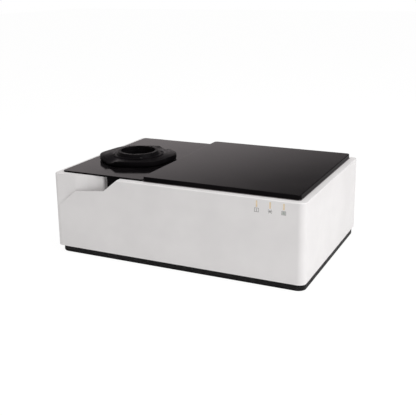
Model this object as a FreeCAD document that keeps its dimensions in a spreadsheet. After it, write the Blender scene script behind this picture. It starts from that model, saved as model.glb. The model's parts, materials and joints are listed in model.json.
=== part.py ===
import FreeCAD, Part
import math
import os
import Sketcher
from FreeCAD import Placement, Rotation, Vector

# Near-infrared spectrometer with a lift-up rotating sample stage.
# Millimetres. X to the right, Y to the back, Z up, origin on the floor at the middle of the footprint.

doc = FreeCAD.newDocument("NirSpectrometer")
sheet = doc.addObject("Spreadsheet::Sheet", "Sizes")
sub_parts = []


class Measure:
    """A size known both as a number and as a formula on the sheet."""

    def __init__(self, value, text):
        self.value = value
        self.text = text

    def _join(self, sign, other, swapped=False):
        if not isinstance(other, Measure):
            other = Measure(other, repr(other))
        first, second = (other, self) if swapped else (self, other)
        a, b = first.value, second.value
        value = {"+": a + b, "-": a - b, "*": a * b, "/": a / b if b else 0}[sign]
        return Measure(value, f"({first.text} {sign} {second.text})")

    def __add__(self, other):
        return self._join("+", other)

    def __radd__(self, other):
        return self._join("+", other, True)

    def __sub__(self, other):
        return self._join("-", other)

    def __rsub__(self, other):
        return self._join("-", other, True)

    def __mul__(self, other):
        return self._join("*", other)

    def __rmul__(self, other):
        return self._join("*", other, True)

    def __truediv__(self, other):
        return self._join("/", other)

    def __neg__(self):
        return Measure(-self.value, f"(-{self.text})")


def size(alias, value, note=""):
    """Write a driving dimension on its own row of the sheet."""
    size.row += 1
    sheet.set(f"A{size.row}", alias)
    sheet.set(f"B{size.row}", str(value))
    sheet.set(f"C{size.row}", note)
    sheet.setAlias(f"B{size.row}", alias)
    return Measure(float(value), f"Sizes.{alias}")


size.row = 0


def number(measure):
    return measure.value if isinstance(measure, Measure) else float(measure)


def bind(item, path, measure):
    """Tie a property of an object to the sheet."""
    if isinstance(measure, Measure):
        item.setExpression(path, measure.text)
    elif "." not in path:
        setattr(item, path, measure)
    else:
        item.setExpression(path, repr(measure))


def place(item, at, turn=None):
    """Bind an object's position, with a fixed or no rotation."""
    item.Placement = Placement(Vector(*[number(c) for c in at]), turn or Rotation())
    for axis, measure in zip("xyz", at):
        if isinstance(measure, Measure):
            item.setExpression("Placement.Base." + axis, measure.text)


# Part primitives

TURN_TO = {"Z": Rotation(), "X": Rotation(Vector(0, 1, 0), 90), "Y": Rotation(Vector(1, 0, 0), -90)}


def box(name, corner, length, width, height):
    item = doc.addObject("Part::Box", name)
    bind(item, "Length", length)
    bind(item, "Width", width)
    bind(item, "Height", height)
    place(item, corner)
    return item


def centred_box(name, middle, length, width, height):
    """Box centred on middle in X and Y, standing on its Z."""
    x, y, z = middle
    return box(name, (x - length / 2, y - width / 2, z), length, width, height)


def cylinder(name, start, radius, height, axis="Z"):
    item = doc.addObject("Part::Cylinder", name)
    bind(item, "Radius", radius)
    bind(item, "Height", height)
    place(item, start, TURN_TO[axis])
    return item


def cone(name, start, radius, radius_end, height, axis="Z"):
    item = doc.addObject("Part::Cone", name)
    bind(item, "Radius1", radius)
    bind(item, "Radius2", radius_end)
    bind(item, "Height", height)
    place(item, start, TURN_TO[axis])
    return item


def fuse(name, items):
    item = doc.addObject("Part::MultiFuse", name)
    item.Shapes = items
    item.Refine = True
    return item


def cut(name, base, tools):
    item = doc.addObject("Part::Cut", name)
    item.Base = base
    item.Tool = tools[0] if len(tools) == 1 else fuse(name + "_tools", tools)
    return item


def common(name, items):
    item = doc.addObject("Part::MultiCommon", name)
    item.Shapes = items
    return item


def tube(name, start, outer, inner, height, axis="Z"):
    wall = cylinder(name + "_outside", start, outer, height, axis)
    bore = cylinder(name + "_bore", start, inner, height, axis)
    return cut(name, wall, [bore])


def copies(name, make, places):
    """Several like solids in one sub-part."""
    group = doc.addObject("Part::Compound", name)
    group.Links = [make(f"{name}_{i + 1}", *spot) for i, spot in enumerate(places)]
    return group


def shape_feature(name, shape, at):
    """Sub-part whose shape is worked out here, placed by bound sizes."""
    item = doc.addObject("Part::Feature", name)
    item.Shape = shape
    place(item, at)
    return item


def round_edges(name, base, radius, chosen):
    """Part fillet on the edges that the test chosen picks."""
    doc.recompute()
    item = doc.addObject("Part::Fillet", name)
    item.Base = base
    edges = [i + 1 for i, edge in enumerate(base.Shape.Edges) if chosen(edge)]
    item.Edges = [(i, number(radius), number(radius)) for i in edges]
    return item


def keep(item, label):
    """Name a finished sub-part. The label is also its file's name."""
    item.Label = label
    sub_parts.append(item)
    return item


# PartDesign bodies

def new_body(name):
    return doc.addObject("PartDesign::Body", name)


def sketch_on(body, name, plane="XY_Plane", offset=0.0):
    """Sketch on one of the body's own origin planes, moved along its normal."""
    sketch = body.newObject("Sketcher::SketchObject", name)
    support = [f for f in body.Origin.OriginFeatures if f.Role == plane][0]
    sketch.AttachmentSupport = (support, [""])
    sketch.MapMode = "FlatFace"
    sketch.AttachmentOffset = Placement(Vector(0, 0, number(offset)), Rotation())
    if isinstance(offset, Measure):
        sketch.setExpression("AttachmentOffset.Base.z", offset.text)
    return sketch


def hold(sketch, kind, *rest):
    """Add a constraint whose last item is its measure."""
    measure = rest[-1]
    index = sketch.addConstraint(Sketcher.Constraint(kind, *rest[:-1], number(measure)))
    if isinstance(measure, Measure):
        sketch.setExpression(f"Constraints[{index}]", measure.text)


def draw_outline(sketch, corners):
    """Closed outline of straight lines through corners."""
    first = sketch.GeometryCount
    points = [Vector(number(x), number(y), 0) for x, y in corners]
    count = len(points)
    for i in range(count):
        sketch.addGeometry(Part.LineSegment(points[i], points[(i + 1) % count]), False)
    for i in range(count):
        after = first + (i + 1) % count
        sketch.addConstraint(Sketcher.Constraint("Coincident", first + i, 2, after, 1))
    for i, (x, y) in enumerate(corners):
        hold(sketch, "DistanceX", -1, 1, first + i, 1, x)
        hold(sketch, "DistanceY", -1, 1, first + i, 1, y)


def draw_rectangle(sketch, x0, x1, y0, y1):
    draw_outline(sketch, [(x0, y0), (x1, y0), (x1, y1), (x0, y1)])


def draw_circle(sketch, x, y, radius):
    middle = Vector(number(x), number(y), 0)
    index = sketch.addGeometry(Part.Circle(middle, Vector(0, 0, 1), number(radius)), False)
    hold(sketch, "DistanceX", -1, 1, index, 3, x)
    hold(sketch, "DistanceY", -1, 1, index, 3, y)
    hold(sketch, "Radius", index, radius)


def pad(body, name, sketch, length, backwards=False):
    feature = body.newObject("PartDesign::Pad", name)
    feature.Profile = sketch
    feature.Reversed = backwards
    bind(feature, "Length", length)
    sketch.Visibility = False
    return feature


def pocket(body, name, sketch, length, backwards=False):
    feature = body.newObject("PartDesign::Pocket", name)
    feature.Profile = sketch
    feature.Reversed = backwards
    bind(feature, "Length", length)
    return feature


def fillet(body, name, radius, chosen):
    """Round the edges of the body's last feature that the test chosen picks."""
    doc.recompute()
    last = body.Tip
    names = [f"Edge{i + 1}" for i, edge in enumerate(last.Shape.Edges) if chosen(edge)]
    feature = body.newObject("PartDesign::Fillet", name)
    feature.Base = (last, names)
    bind(feature, "Radius", radius)
    return feature


def is_upright(edge):
    start, end = edge.Vertexes[0].Point, edge.Vertexes[-1].Point
    straight = edge.Curve.TypeId == "Part::GeomLine"
    return straight and math.hypot(end.x - start.x, end.y - start.y) < 1e-6


def lies_at(edge, height):
    """The whole edge lies at one height."""
    bounds = edge.BoundBox
    return abs(bounds.ZMin - number(height)) < 1e-4 and abs(bounds.ZMax - number(height)) < 1e-4


def rounded_plate(name, x0, x1, y0, y1, z0, thickness, radius):
    """Body with one rectangular pad and rounded upright corners."""
    body = new_body(name)
    sketch = sketch_on(body, name + "_outline", offset=z0)
    draw_rectangle(sketch, x0, x1, y0, y1)
    pad(body, name + "_pad", sketch, thickness)
    fillet(body, name + "_corners", radius, is_upright)
    return body


# Driving dimensions: casing

housing_width = size("housing_width", 540, "overall, left to right")
housing_depth = size("housing_depth", 370, "overall, front to back")
base_height = size("base_height", 15, "floor to the lower edge of the white casing")
shell_height = size("shell_height", 155, "white casing, lower edge to deck")
shell_wall = size("shell_wall", 4)
deck_thickness = size("deck_thickness", 4)
corner_radius = size("corner_radius", 14)
rim_rounding = size("rim_rounding", 2.5)
flange_width = size("flange_width", 12, "inward flange at the casing's lower edge")
flange_thickness = size("flange_thickness", 3)
base_inset = size("base_inset", 8, "black base behind the casing's face")
tray_wall = size("tray_wall", 5)
tray_floor = size("tray_floor", 3)
foot_radius = size("foot_radius", 12)
foot_lift = size("foot_lift", 2, "foot below the tray")
foot_sink = size("foot_sink", 1.5, "foot inside its socket in the tray")
foot_inset = size("foot_inset", 34, "foot centre from the casing's faces")
vent_length = size("vent_length", 46)
vent_width = size("vent_width", 3.5)
vent_pitch = size("vent_pitch", 14)
vent_count = size("vent_count", 7)

# Driving dimensions: left plate and right lid

plate_left_rim = size("plate_left_rim", 14.1)
plate_front_rim = size("plate_front_rim", 15.6)
plate_back_rim = size("plate_back_rim", 17)
plate_thickness = size("plate_thickness", 3.4)
plate_corner = size("plate_corner", 6)
lid_seam = size("lid_seam", 203.6, "left side of the casing to the lid's left face")
seam_gap = size("seam_gap", 0.6, "between left plate and lid")
lid_front_rim = size("lid_front_rim", 13.4)
lid_back_rim = size("lid_back_rim", 13.5)
lid_right_rim = size("lid_right_rim", 14.3)
lid_height = size("lid_height", 10.3)
lid_wall = size("lid_wall", 3)
lid_corner = size("lid_corner", 7)
lid_edge = size("lid_edge", 1.2, "rounding of the lid's upper edges")
opening_ledge = size("opening_ledge", 17, "deck left under the edges of lid and plate")
screw_radius = size("screw_radius", 1.9)
screw_head = size("screw_head", 3.5)
screw_head_height = size("screw_head_height", 2.4)
screw_clearance = size("screw_clearance", 0.3)

# Driving dimensions: finger recess

scoop_start = size("scoop_start", 3, "from the casing's left face")
scoop_shallow_x = size("scoop_shallow_x", 52)
scoop_shallow_depth = size("scoop_shallow_depth", 6)
scoop_middle_x = size("scoop_middle_x", 75)
scoop_middle_depth = size("scoop_middle_depth", 13)
scoop_full_x = size("scoop_full_x", 100)
scoop_depth = size("scoop_depth", 18)
scoop_end_x = size("scoop_end_x", 112, "where the white wall turns in")
scoop_slot_depth = size("scoop_slot_depth", 27, "depth of the slot for the lift tab")
notch_end_x = size("notch_end_x", 152)
notch_knee_x = size("notch_knee_x", 120.5)
notch_low_x = size("notch_low_x", 11)
notch_low_height = size("notch_low_height", 102)
notch_left_height = size("notch_left_height", 136)
notch_knee_height = size("notch_knee_height", 144)
scoop_floor_height = size("scoop_floor_height", 118)
scoop_lip = size("scoop_lip", 3, "front skin left below the notch")
scoop_wall = size("scoop_wall", 3)
scoop_rounding = size("scoop_rounding", 40)
scoop_end_rounding = size("scoop_end_rounding", 6)
tab_thickness = size("tab_thickness", 3)
tab_clearance = size("tab_clearance", 2)
tab_depth = size("tab_depth", 28, "lift tab below the left plate")

# Driving dimensions: sample stage

stage_from_left = size("stage_from_left", 109)
stage_from_front = size("stage_from_front", 160.5)
stage_turn = size("stage_turn", 30.2, "resting angle of the octagon")
stage_apothem = size("stage_apothem", 82, "octagon, axis to flat")
stage_top_apothem = size("stage_top_apothem", 66)
stage_gap = size("stage_gap", 2.6, "left plate to turntable")
stage_band = size("stage_band", 1.4, "upright band below the bevel")
stage_bevel = size("stage_bevel", 6.2)
stage_corner = size("stage_corner", 12)
cup_radius = size("cup_radius", 37.5, "seat of the sample cup")
cup_ledge = size("cup_ledge", 32, "bore below the cup")
cup_floor = size("cup_floor", 2, "cup ledge above the deck")
hub_radius = size("hub_radius", 46.7)
hub_clearance = size("hub_clearance", 0.3)
bearing_radius = size("bearing_radius", 56)
bearing_drop = size("bearing_drop", 5, "bearing below the deck")
bearing_flange = size("bearing_flange", 66)
bearing_flange_thickness = size("bearing_flange_thickness", 2)
collar_flange = size("collar_flange", 56)
collar_flange_thickness = size("collar_flange_thickness", 2)
collar_height = size("collar_height", 12.2)
collar_foot = size("collar_foot", 49.5)
collar_top = size("collar_top", 45.5)
collar_notch_width = size("collar_notch_width", 24)
collar_notch_depth = size("collar_notch_depth", 6)
grip_radius = size("grip_radius", 16, "finger scallops in the turntable's bevel")
gear_module = size("gear_module", 1.5)
gear_teeth = size("gear_teeth", 80)
pinion_teeth = size("pinion_teeth", 16)
gear_thickness = size("gear_thickness", 6)
gear_drop = size("gear_drop", 6, "deck to the ring gear's upper face")
gear_bore = size("gear_bore", 40)
gear_backlash = size("gear_backlash", 0.3)
motor_width = size("motor_width", 42)
motor_height = size("motor_height", 34)
motor_shaft_radius = size("motor_shaft_radius", 2.5)
bracket_sheet = size("bracket_sheet", 3)
bracket_gap = size("bracket_gap", 3, "below the ring gear")
hinge_radius = size("hinge_radius", 1.5)
hinge_pin_radius = size("hinge_pin_radius", 0.8)
hinge_spread = size("hinge_spread", 120)
hinge_middle = size("hinge_middle", 16)
hinge_side = size("hinge_side", 8)
hinge_gap = size("hinge_gap", 0.4)
hinge_leaf = size("hinge_leaf", 9)

# Driving dimensions: stage drive

collar_screw_radius = size("collar_screw_radius", 1.5)
collar_screw_depth = size("collar_screw_depth", 4, "thread inside the turntable")
collar_screw_head = size("collar_screw_head", 2.8)
collar_screw_head_height = size("collar_screw_head_height", 1.4)
gear_screw_radius = size("gear_screw_radius", 1.5)
gear_screw_depth = size("gear_screw_depth", 5, "thread inside the hub")
gear_screw_head_height = size("gear_screw_head_height", 1.8)
shaft_sink = size("shaft_sink", 16, "shaft inside the motor")
pilot_radius = size("pilot_radius", 11)
motor_corner = size("motor_corner", 5)
bracket_leg_gap = size("bracket_leg_gap", 2, "motor to bracket leg")
bracket_leg_setback = size("bracket_leg_setback", 12, "legs behind the motor's front face")
bracket_ear = size("bracket_ear", 14)
liner_clearance = size("liner_clearance", 0.5)
liner_sheet = size("liner_sheet", 2)
liner_flange = size("liner_flange", 6, "rim under the deck")
liner_floor_height = size("liner_floor_height", 106)
head_radius = size("head_radius", 27)

# Driving dimensions: rear panel

inlet_x = size("inlet_x", -15, "all rear items are placed from the middle")
inlet_width = size("inlet_width", 27)
inlet_height = size("inlet_height", 20)
inlet_depth = size("inlet_depth", 20)
inlet_wall = size("inlet_wall", 1.8)
inlet_chamfer = size("inlet_chamfer", 4)
inlet_pin_width = size("inlet_pin_width", 2)
inlet_pin_height = size("inlet_pin_height", 4)
inlet_pin_length = size("inlet_pin_length", 14)
inlet_pin_pitch = size("inlet_pin_pitch", 7)
bezel = size("bezel", 2)
bezel_thickness = size("bezel_thickness", 2)
switch_x = size("switch_x", 25)
switch_width = size("switch_width", 13)
switch_height = size("switch_height", 20)
rocker_dish_radius = size("rocker_dish_radius", 40)
usb_x = size("usb_x", 62)
usb_width = size("usb_width", 12)
usb_height = size("usb_height", 11)
usb_depth = size("usb_depth", 14)
network_x = size("network_x", 92)
network_width = size("network_width", 16.5)
network_height = size("network_height", 14)
network_depth = size("network_depth", 18)
fan_x = size("fan_x", 180)
fan_size = size("fan_size", 60)
fan_depth = size("fan_depth", 20)
fan_hub = size("fan_hub", 13)
fan_pin = size("fan_pin", 2)
fan_blades = size("fan_blades", 7)
fan_pitch = size("fan_pitch", 38, "blade angle at the hub")
fan_running_gap = size("fan_running_gap", 1)

# Driving dimensions: electronics

supply_x = size("supply_x", 10)
supply_length = size("supply_length", 120)
supply_width = size("supply_width", 70)
supply_height = size("supply_height", 38)
board_x = size("board_x", 165)
board_length = size("board_length", 130)
board_width = size("board_width", 110)
board_lift = size("board_lift", 8)
board_thickness = size("board_thickness", 1.6)
standoff_radius = size("standoff_radius", 2.5)

# Driving dimensions: optics

beam_height = size("beam_height", 76, "optical axis above the floor")
bench_thickness = size("bench_thickness", 8)
bench_lift = size("bench_lift", 10, "rubber isolators")
bench_rib = size("bench_rib", 5)
bench_left_reach = size("bench_left_reach", 62, "bench left of the stage axis")
bench_front = size("bench_front", -135)
bench_back = size("bench_back", 45)
isolator_radius = size("isolator_radius", 9)
grating_x = size("grating_x", 30)
grating_y = size("grating_y", -58)
slit_x = size("slit_x", -108)
exit_slit_y = size("exit_slit_y", -34)
entrance_slit_y = size("entrance_slit_y", -82)
slit_thickness = size("slit_thickness", 8)
slit_block_width = size("slit_block_width", 20)
slit_width = size("slit_width", 1)
slit_length = size("slit_length", 10)
wheel_radius = size("wheel_radius", 20)
wheel_thickness = size("wheel_thickness", 4)
wheel_ring = size("wheel_ring", 13.5, "filter centres from the wheel's axis")
filter_radius = size("filter_radius", 5)
filter_count = size("filter_count", 6)
wheel_gap = size("wheel_gap", 2, "entrance slit to filter wheel")
wheel_motor_radius = size("wheel_motor_radius", 8)
wheel_motor_length = size("wheel_motor_length", 20)
lamp_house_size = size("lamp_house_size", 44)
lamp_fin = size("lamp_fin", 1.6)
lamp_fin_pitch = size("lamp_fin_pitch", 5)
lamp_fin_depth = size("lamp_fin_depth", 7)
reflector_radius = size("reflector_radius", 17)
reflector_depth = size("reflector_depth", 13)
reflector_wall = size("reflector_wall", 1.5)
bulb_radius = size("bulb_radius", 4.5)
bulb_length = size("bulb_length", 14)
grating_size = size("grating_size", 32)
grating_thickness = size("grating_thickness", 6)
holder_wall = size("holder_wall", 3)
grating_shaft_radius = size("grating_shaft_radius", 4)
grating_motor_radius = size("grating_motor_radius", 19)
head_bore = size("head_bore", 20)
head_top_thickness = size("head_top_thickness", 6)
window_radius = size("window_radius", 16)
window_thickness = size("window_thickness", 2)
window_gap = size("window_gap", 1.5, "below the deck's upper face")
mirror_radius = size("mirror_radius", 15)
mirror_thickness = size("mirror_thickness", 4)
detector_radius = size("detector_radius", 4.6)
detector_length = size("detector_length", 12)
paddle_reach = size("paddle_reach", 46, "paddle pivot to head axis")
paddle_radius = size("paddle_radius", 15)
paddle_thickness = size("paddle_thickness", 3)
paddle_park = size("paddle_park", 70, "swing from parked to measuring")
paddle_slot = size("paddle_slot", 9)
paddle_shaft_radius = size("paddle_shaft_radius", 3)
paddle_motor_radius = size("paddle_motor_radius", 11)
grating_focus = size("grating_focus", 150, "radius of the concave face")

# Derived places

left = -housing_width / 2
right = housing_width / 2
front = -housing_depth / 2
back = housing_depth / 2
deck = base_height + shell_height
ceiling = deck - deck_thickness
inner_left = left + shell_wall
inner_right = right - shell_wall
inner_front = front + shell_wall
inner_back = back - shell_wall

plate_left = left + plate_left_rim
plate_right = left + lid_seam - seam_gap
plate_front = front + plate_front_rim
plate_back = back - plate_back_rim
plate_top = deck + plate_thickness
lid_left = left + lid_seam
lid_right = right - lid_right_rim
lid_front = front + lid_front_rim
lid_back = back - lid_back_rim

stage_x = left + stage_from_left
stage_y = front + stage_from_front
stage_bottom = plate_top + stage_gap
stage_deck = stage_bottom + stage_band + stage_bevel
gear_top = deck - gear_drop
gear_bottom = gear_top - gear_thickness
gear_pitch_radius = gear_module * gear_teeth / 2
pinion_pitch_radius = gear_module * pinion_teeth / 2
motor_y = stage_y + gear_pitch_radius + pinion_pitch_radius
bracket_top = gear_bottom - bracket_gap
motor_top = bracket_top - bracket_sheet


# White casing

bay_left = plate_left + opening_ledge - 5
bay_right = plate_right - 10
bay_front = stage_y - gear_pitch_radius - 12
bay_back = motor_y + motor_width / 2 + 42
service_left = lid_left + opening_ledge
service_right = lid_right - opening_ledge
service_front = lid_front + opening_ledge
service_back = lid_back - opening_ledge

panel_left = size("panel_left", -45, "rear panel, from the middle")
panel_right = size("panel_right", 235)
panel_bottom = size("panel_bottom", 50)
panel_top = size("panel_top", 130)
panel_overlap = size("panel_overlap", 6)
panel_thickness = size("panel_thickness", 2)
lamp_bar_width = size("lamp_bar_width", 3)
lamp_bar_height = size("lamp_bar_height", 12)
lamp_bar_top = size("lamp_bar_top", 4.5, "below the deck")
lamp_first_x = size("lamp_first_x", 447.8, "from the casing's left face")
lamp_pitch = size("lamp_pitch", 25.9)
lamp_clearance = size("lamp_clearance", 0.05)

shell = new_body("shell_body")
shell_outline = sketch_on(shell, "shell_outline", offset=base_height)
draw_rectangle(shell_outline, left, right, front, back)
pad(shell, "shell_block", shell_outline, shell_height)
fillet(shell, "shell_corners", corner_radius, is_upright)
fillet(shell, "shell_rim", rim_rounding, lambda edge: lies_at(edge, deck))

cavity = rounded_plate("shell_cavity", inner_left, inner_right, inner_front, inner_back,
                       base_height - 1, shell_height - deck_thickness + 1, corner_radius - shell_wall)
flange_block = rounded_plate("flange_block", inner_left, inner_right, inner_front, inner_back,
                             base_height, flange_thickness, corner_radius - shell_wall)
flange_hole = rounded_plate("flange_hole", inner_left + flange_width, inner_right - flange_width,
                            inner_front + flange_width, inner_back - flange_width,
                            base_height - 1, flange_thickness + 2, corner_radius / 2)
flange = cut("shell_flange", flange_block, [flange_hole])

bay_hole = rounded_plate("bay_hole", bay_left, bay_right, bay_front, bay_back,
                         ceiling - 1, deck_thickness + 2, corner_radius / 2)
service_hole = rounded_plate("service_hole", service_left, service_right, service_front, service_back,
                             ceiling - 1, deck_thickness + 2, corner_radius)
panel_hole = box("panel_hole", (panel_left + panel_overlap, inner_back - 1, panel_bottom + panel_overlap),
                 panel_right - panel_left - 2 * panel_overlap, shell_wall + 2,
                 panel_top - panel_bottom - 2 * panel_overlap)
lamp_places = [left + lamp_first_x + i * lamp_pitch for i in range(3)]
lamp_top = deck - lamp_bar_top
lamp_holes = [
    box(f"lamp_hole_{i + 1}",
        (x - lamp_bar_width / 2 - lamp_clearance, front - 1, lamp_top - lamp_bar_height - lamp_clearance),
        lamp_bar_width + 2 * lamp_clearance, shell_wall + 2, lamp_bar_height + 2 * lamp_clearance)
    for i, x in enumerate(lamp_places)
]

# Finger recess: an S-curved wall behind a notch in the front skin

scoop = new_body("scoop_tool")
scoop_sketch = sketch_on(scoop, "scoop_sketch", offset=base_height + scoop_wall)
draw_outline(scoop_sketch, [
    (left + scoop_start, front - 1),
    (left + scoop_start, front),
    (left + scoop_shallow_x, front + scoop_shallow_depth),
    (left + scoop_middle_x, front + scoop_middle_depth),
    (left + scoop_full_x, front + scoop_depth),
    (left + scoop_end_x, front + scoop_depth),
    (left + scoop_end_x, front + scoop_slot_depth),
    (left + notch_end_x, front + scoop_slot_depth),
    (left + notch_end_x, front - 1),
])
pad(scoop, "scoop_pad", scoop_sketch, shell_height)
scoop_bends = [left + scoop_shallow_x, left + scoop_middle_x, left + scoop_full_x]


def is_scoop_bend(edge):
    x = edge.Vertexes[0].Point.x
    return is_upright(edge) and any(abs(x - bend.value) < 1e-3 for bend in scoop_bends)


def is_scoop_end(edge):
    point = edge.Vertexes[0].Point
    at_end = abs(point.x - (left + scoop_end_x).value) < 1e-3
    return is_upright(edge) and at_end and abs(point.y - (front + scoop_depth).value) < 1e-3


fillet(scoop, "scoop_bends", scoop_rounding, is_scoop_bend)
fillet(scoop, "scoop_end", scoop_end_rounding, is_scoop_end)

notch = new_body("notch_tool")
notch_sketch = sketch_on(notch, "notch_sketch", "XZ_Plane", offset=-front + 2)
draw_outline(notch_sketch, [
    (left - 1, notch_low_height - 10),
    (left + notch_low_x, notch_low_height),
    (left + scoop_shallow_x, notch_left_height),
    (left + notch_knee_x, notch_knee_height),
    (left + notch_end_x, deck),
    (left + notch_end_x, deck + 2),
    (left - 1, deck + 2),
])
pad(notch, "notch_pad", notch_sketch, scoop_slot_depth + 6, backwards=True)
trough = box("trough_tool", (left, front + scoop_lip, scoop_floor_height), notch_end_x + 1,
             scoop_slot_depth, shell_height)
recess_region = fuse("recess_region", [notch, trough])
recess = common("recess_tool", [scoop, recess_region])

scoop_back = new_body("scoop_back")
scoop_back_sketch = sketch_on(scoop_back, "scoop_back_sketch", offset=scoop_floor_height - scoop_wall)
draw_outline(scoop_back_sketch, [
    (left + scoop_start, front + shell_wall / 2),
    (left + scoop_start, front + scoop_wall + shell_wall / 2),
    (left + scoop_shallow_x - 1, front + scoop_shallow_depth + scoop_wall),
    (left + scoop_middle_x - 1, front + scoop_middle_depth + scoop_wall),
    (left + scoop_full_x - 1, front + scoop_depth + scoop_wall),
    (left + scoop_end_x - scoop_wall, front + scoop_depth + scoop_wall),
    (left + scoop_end_x - scoop_wall, front + scoop_slot_depth + scoop_wall),
    (left + notch_end_x + scoop_wall, front + scoop_slot_depth + scoop_wall),
    (left + notch_end_x + scoop_wall, front + shell_wall / 2),
])
pad(scoop_back, "scoop_back_pad", scoop_back_sketch, deck - scoop_floor_height)
scoop_skirt = box("scoop_skirt", (left + scoop_start, front + shell_wall / 2, notch_low_height - 14),
                  scoop_shallow_x, scoop_wall + shell_wall / 2, scoop_floor_height - notch_low_height + 14)

# Bosses inside the casing: lid screws through the deck, indicator board at the front

lid_boss_radius = size("lid_boss_radius", 6)
lid_boss_overlap = size("lid_boss_overlap", 1.2, "boss inside the lid's wall")
lid_screw_inset = lid_wall + lid_boss_radius - lid_boss_overlap
lid_screw_places = [
    (x, y)
    for x in (lid_left + lid_screw_inset, lid_right - lid_screw_inset)
    for y in (lid_front + lid_screw_inset, (lid_front + lid_back) / 2, lid_back - lid_screw_inset)
]
lid_screw_holes = [
    cylinder(f"lid_screw_hole_{i + 1}", (x, y, ceiling - 1), screw_radius + screw_clearance,
             deck_thickness + 2)
    for i, (x, y) in enumerate(lid_screw_places)
]
board_post = size("board_post", 5, "indicator board behind the front wall")
board_post_radius = size("board_post_radius", 2.5)
board_post_x = [lamp_places[0] - 14, lamp_places[2] + 14]
board_post_z = lamp_top - lamp_bar_height / 2
front_posts = [
    cylinder(f"front_post_{i + 1}", (x, inner_front - 0.5, board_post_z), board_post_radius,
             board_post + 0.5, "Y")
    for i, x in enumerate(board_post_x)
]

case_screw_inset = size("case_screw_inset", 13, "screw centre inside the casing's faces")
case_screw_places = [
    (x, y)
    for x in (left + case_screw_inset, right - case_screw_inset)
    for y in (front + foot_inset + 26, back - foot_inset - 26)
]
case_screw_holes = [
    cylinder(f"case_screw_hole_{i + 1}", (x, y, base_height - 1), screw_radius, flange_thickness + 2)
    for i, (x, y) in enumerate(case_screw_places)
]

hollow_shell = cut("hollow_shell", shell, [cavity])
scoop_shell = common("scoop_shell", [fuse("scoop_wall_solid", [scoop_back, scoop_skirt]), shell])
full_shell = fuse("full_shell", [hollow_shell, flange, scoop_shell] + front_posts)
keep(cut("outer_shell", full_shell, [recess, bay_hole, service_hole, panel_hole]
         + lamp_holes + lid_screw_holes + case_screw_holes), "outer_shell")

# Black base with feet, vents and bosses

tray_left = left + base_inset
tray_right = right - base_inset
tray_front = front + base_inset
tray_back = back - base_inset
tray_corner = corner_radius - base_inset / 2
tray_block = rounded_plate("tray_block", tray_left, tray_right, tray_front, tray_back,
                           foot_lift, base_height - foot_lift, tray_corner)
tray_hollow = rounded_plate("tray_hollow", tray_left + tray_wall, tray_right - tray_wall,
                            tray_front + tray_wall, tray_back - tray_wall,
                            foot_lift + tray_floor, base_height, tray_corner / 2)
foot_places = [
    (x, y)
    for x in (left + foot_inset, right - foot_inset)
    for y in (front + foot_inset, back - foot_inset)
]
foot_sockets = [
    cylinder(f"foot_socket_{i + 1}", (x, y, 0), foot_radius, foot_lift + foot_sink)
    for i, (x, y) in enumerate(foot_places)
]
boss_radius = size("boss_radius", 5)
case_bosses = [
    cylinder(f"case_boss_{i + 1}", (x, y, foot_lift), boss_radius, base_height - foot_lift)
    for i, (x, y) in enumerate(case_screw_places)
]
case_counterbores = [
    cylinder(f"case_counterbore_{i + 1}", (x, y, 0), screw_head + screw_clearance,
             foot_lift + screw_head_height + 1)
    for i, (x, y) in enumerate(case_screw_places)
]
case_boss_holes = [
    cylinder(f"case_boss_hole_{i + 1}", (x, y, 0), screw_radius + screw_clearance, base_height + 1)
    for i, (x, y) in enumerate(case_screw_places)
]
chassis_inset = size("chassis_inset", 22)
chassis_thickness = size("chassis_thickness", 2)
chassis_z = base_height
chassis_top = chassis_z + chassis_thickness
post_places = [
    (x, y)
    for x in (left + chassis_inset + 12, 0 * left, right - chassis_inset - 12)
    for y in (front + chassis_inset + 12, back - chassis_inset - 12)
]
tray_posts = [
    cylinder(f"tray_post_{i + 1}", (x, y, foot_lift), boss_radius, base_height - foot_lift)
    for i, (x, y) in enumerate(post_places)
]
vent_middle = right / 2
vents = [
    centred_box(f"vent_{i + 1}",
                (vent_middle + (i - (vent_count - 1) / 2) * vent_pitch, front / 3, foot_lift - 1),
                vent_width, vent_length, tray_floor + 2)
    for i in range(int(vent_count.value))
]
tray_shell = cut("tray_shell", tray_block, [tray_hollow])
tray_full = fuse("tray_full", [tray_shell] + case_bosses + tray_posts)
keep(cut("base_tray", tray_full, foot_sockets + case_counterbores + case_boss_holes + vents), "base_tray")


def foot(name, x, y):
    pad_part = cylinder(name + "_pad", (x, y, 0), foot_radius, foot_lift + foot_sink)
    return round_edges(name, pad_part, 0.8, lambda edge: lies_at(edge, 0))


keep(copies("rubber_feet", foot, foot_places), "rubber_feet")


def case_screw(name, x, y):
    seat = foot_lift + 1
    head = cylinder(name + "_head", (x, y, seat), screw_head, screw_head_height)
    shank = cylinder(name + "_shank", (x, y, seat), screw_radius,
                     base_height + flange_thickness - seat)
    return fuse(name, [head, shank])


keep(copies("case_screws", case_screw, case_screw_places), "case_screws")

chassis = rounded_plate("chassis_plate", left + chassis_inset, right - chassis_inset,
                        front + chassis_inset, back - chassis_inset, chassis_z, chassis_thickness,
                        corner_radius / 2)
keep(chassis, "chassis_plate")

# Right lid: a shallow tray turned over, with bosses for its screws

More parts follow.
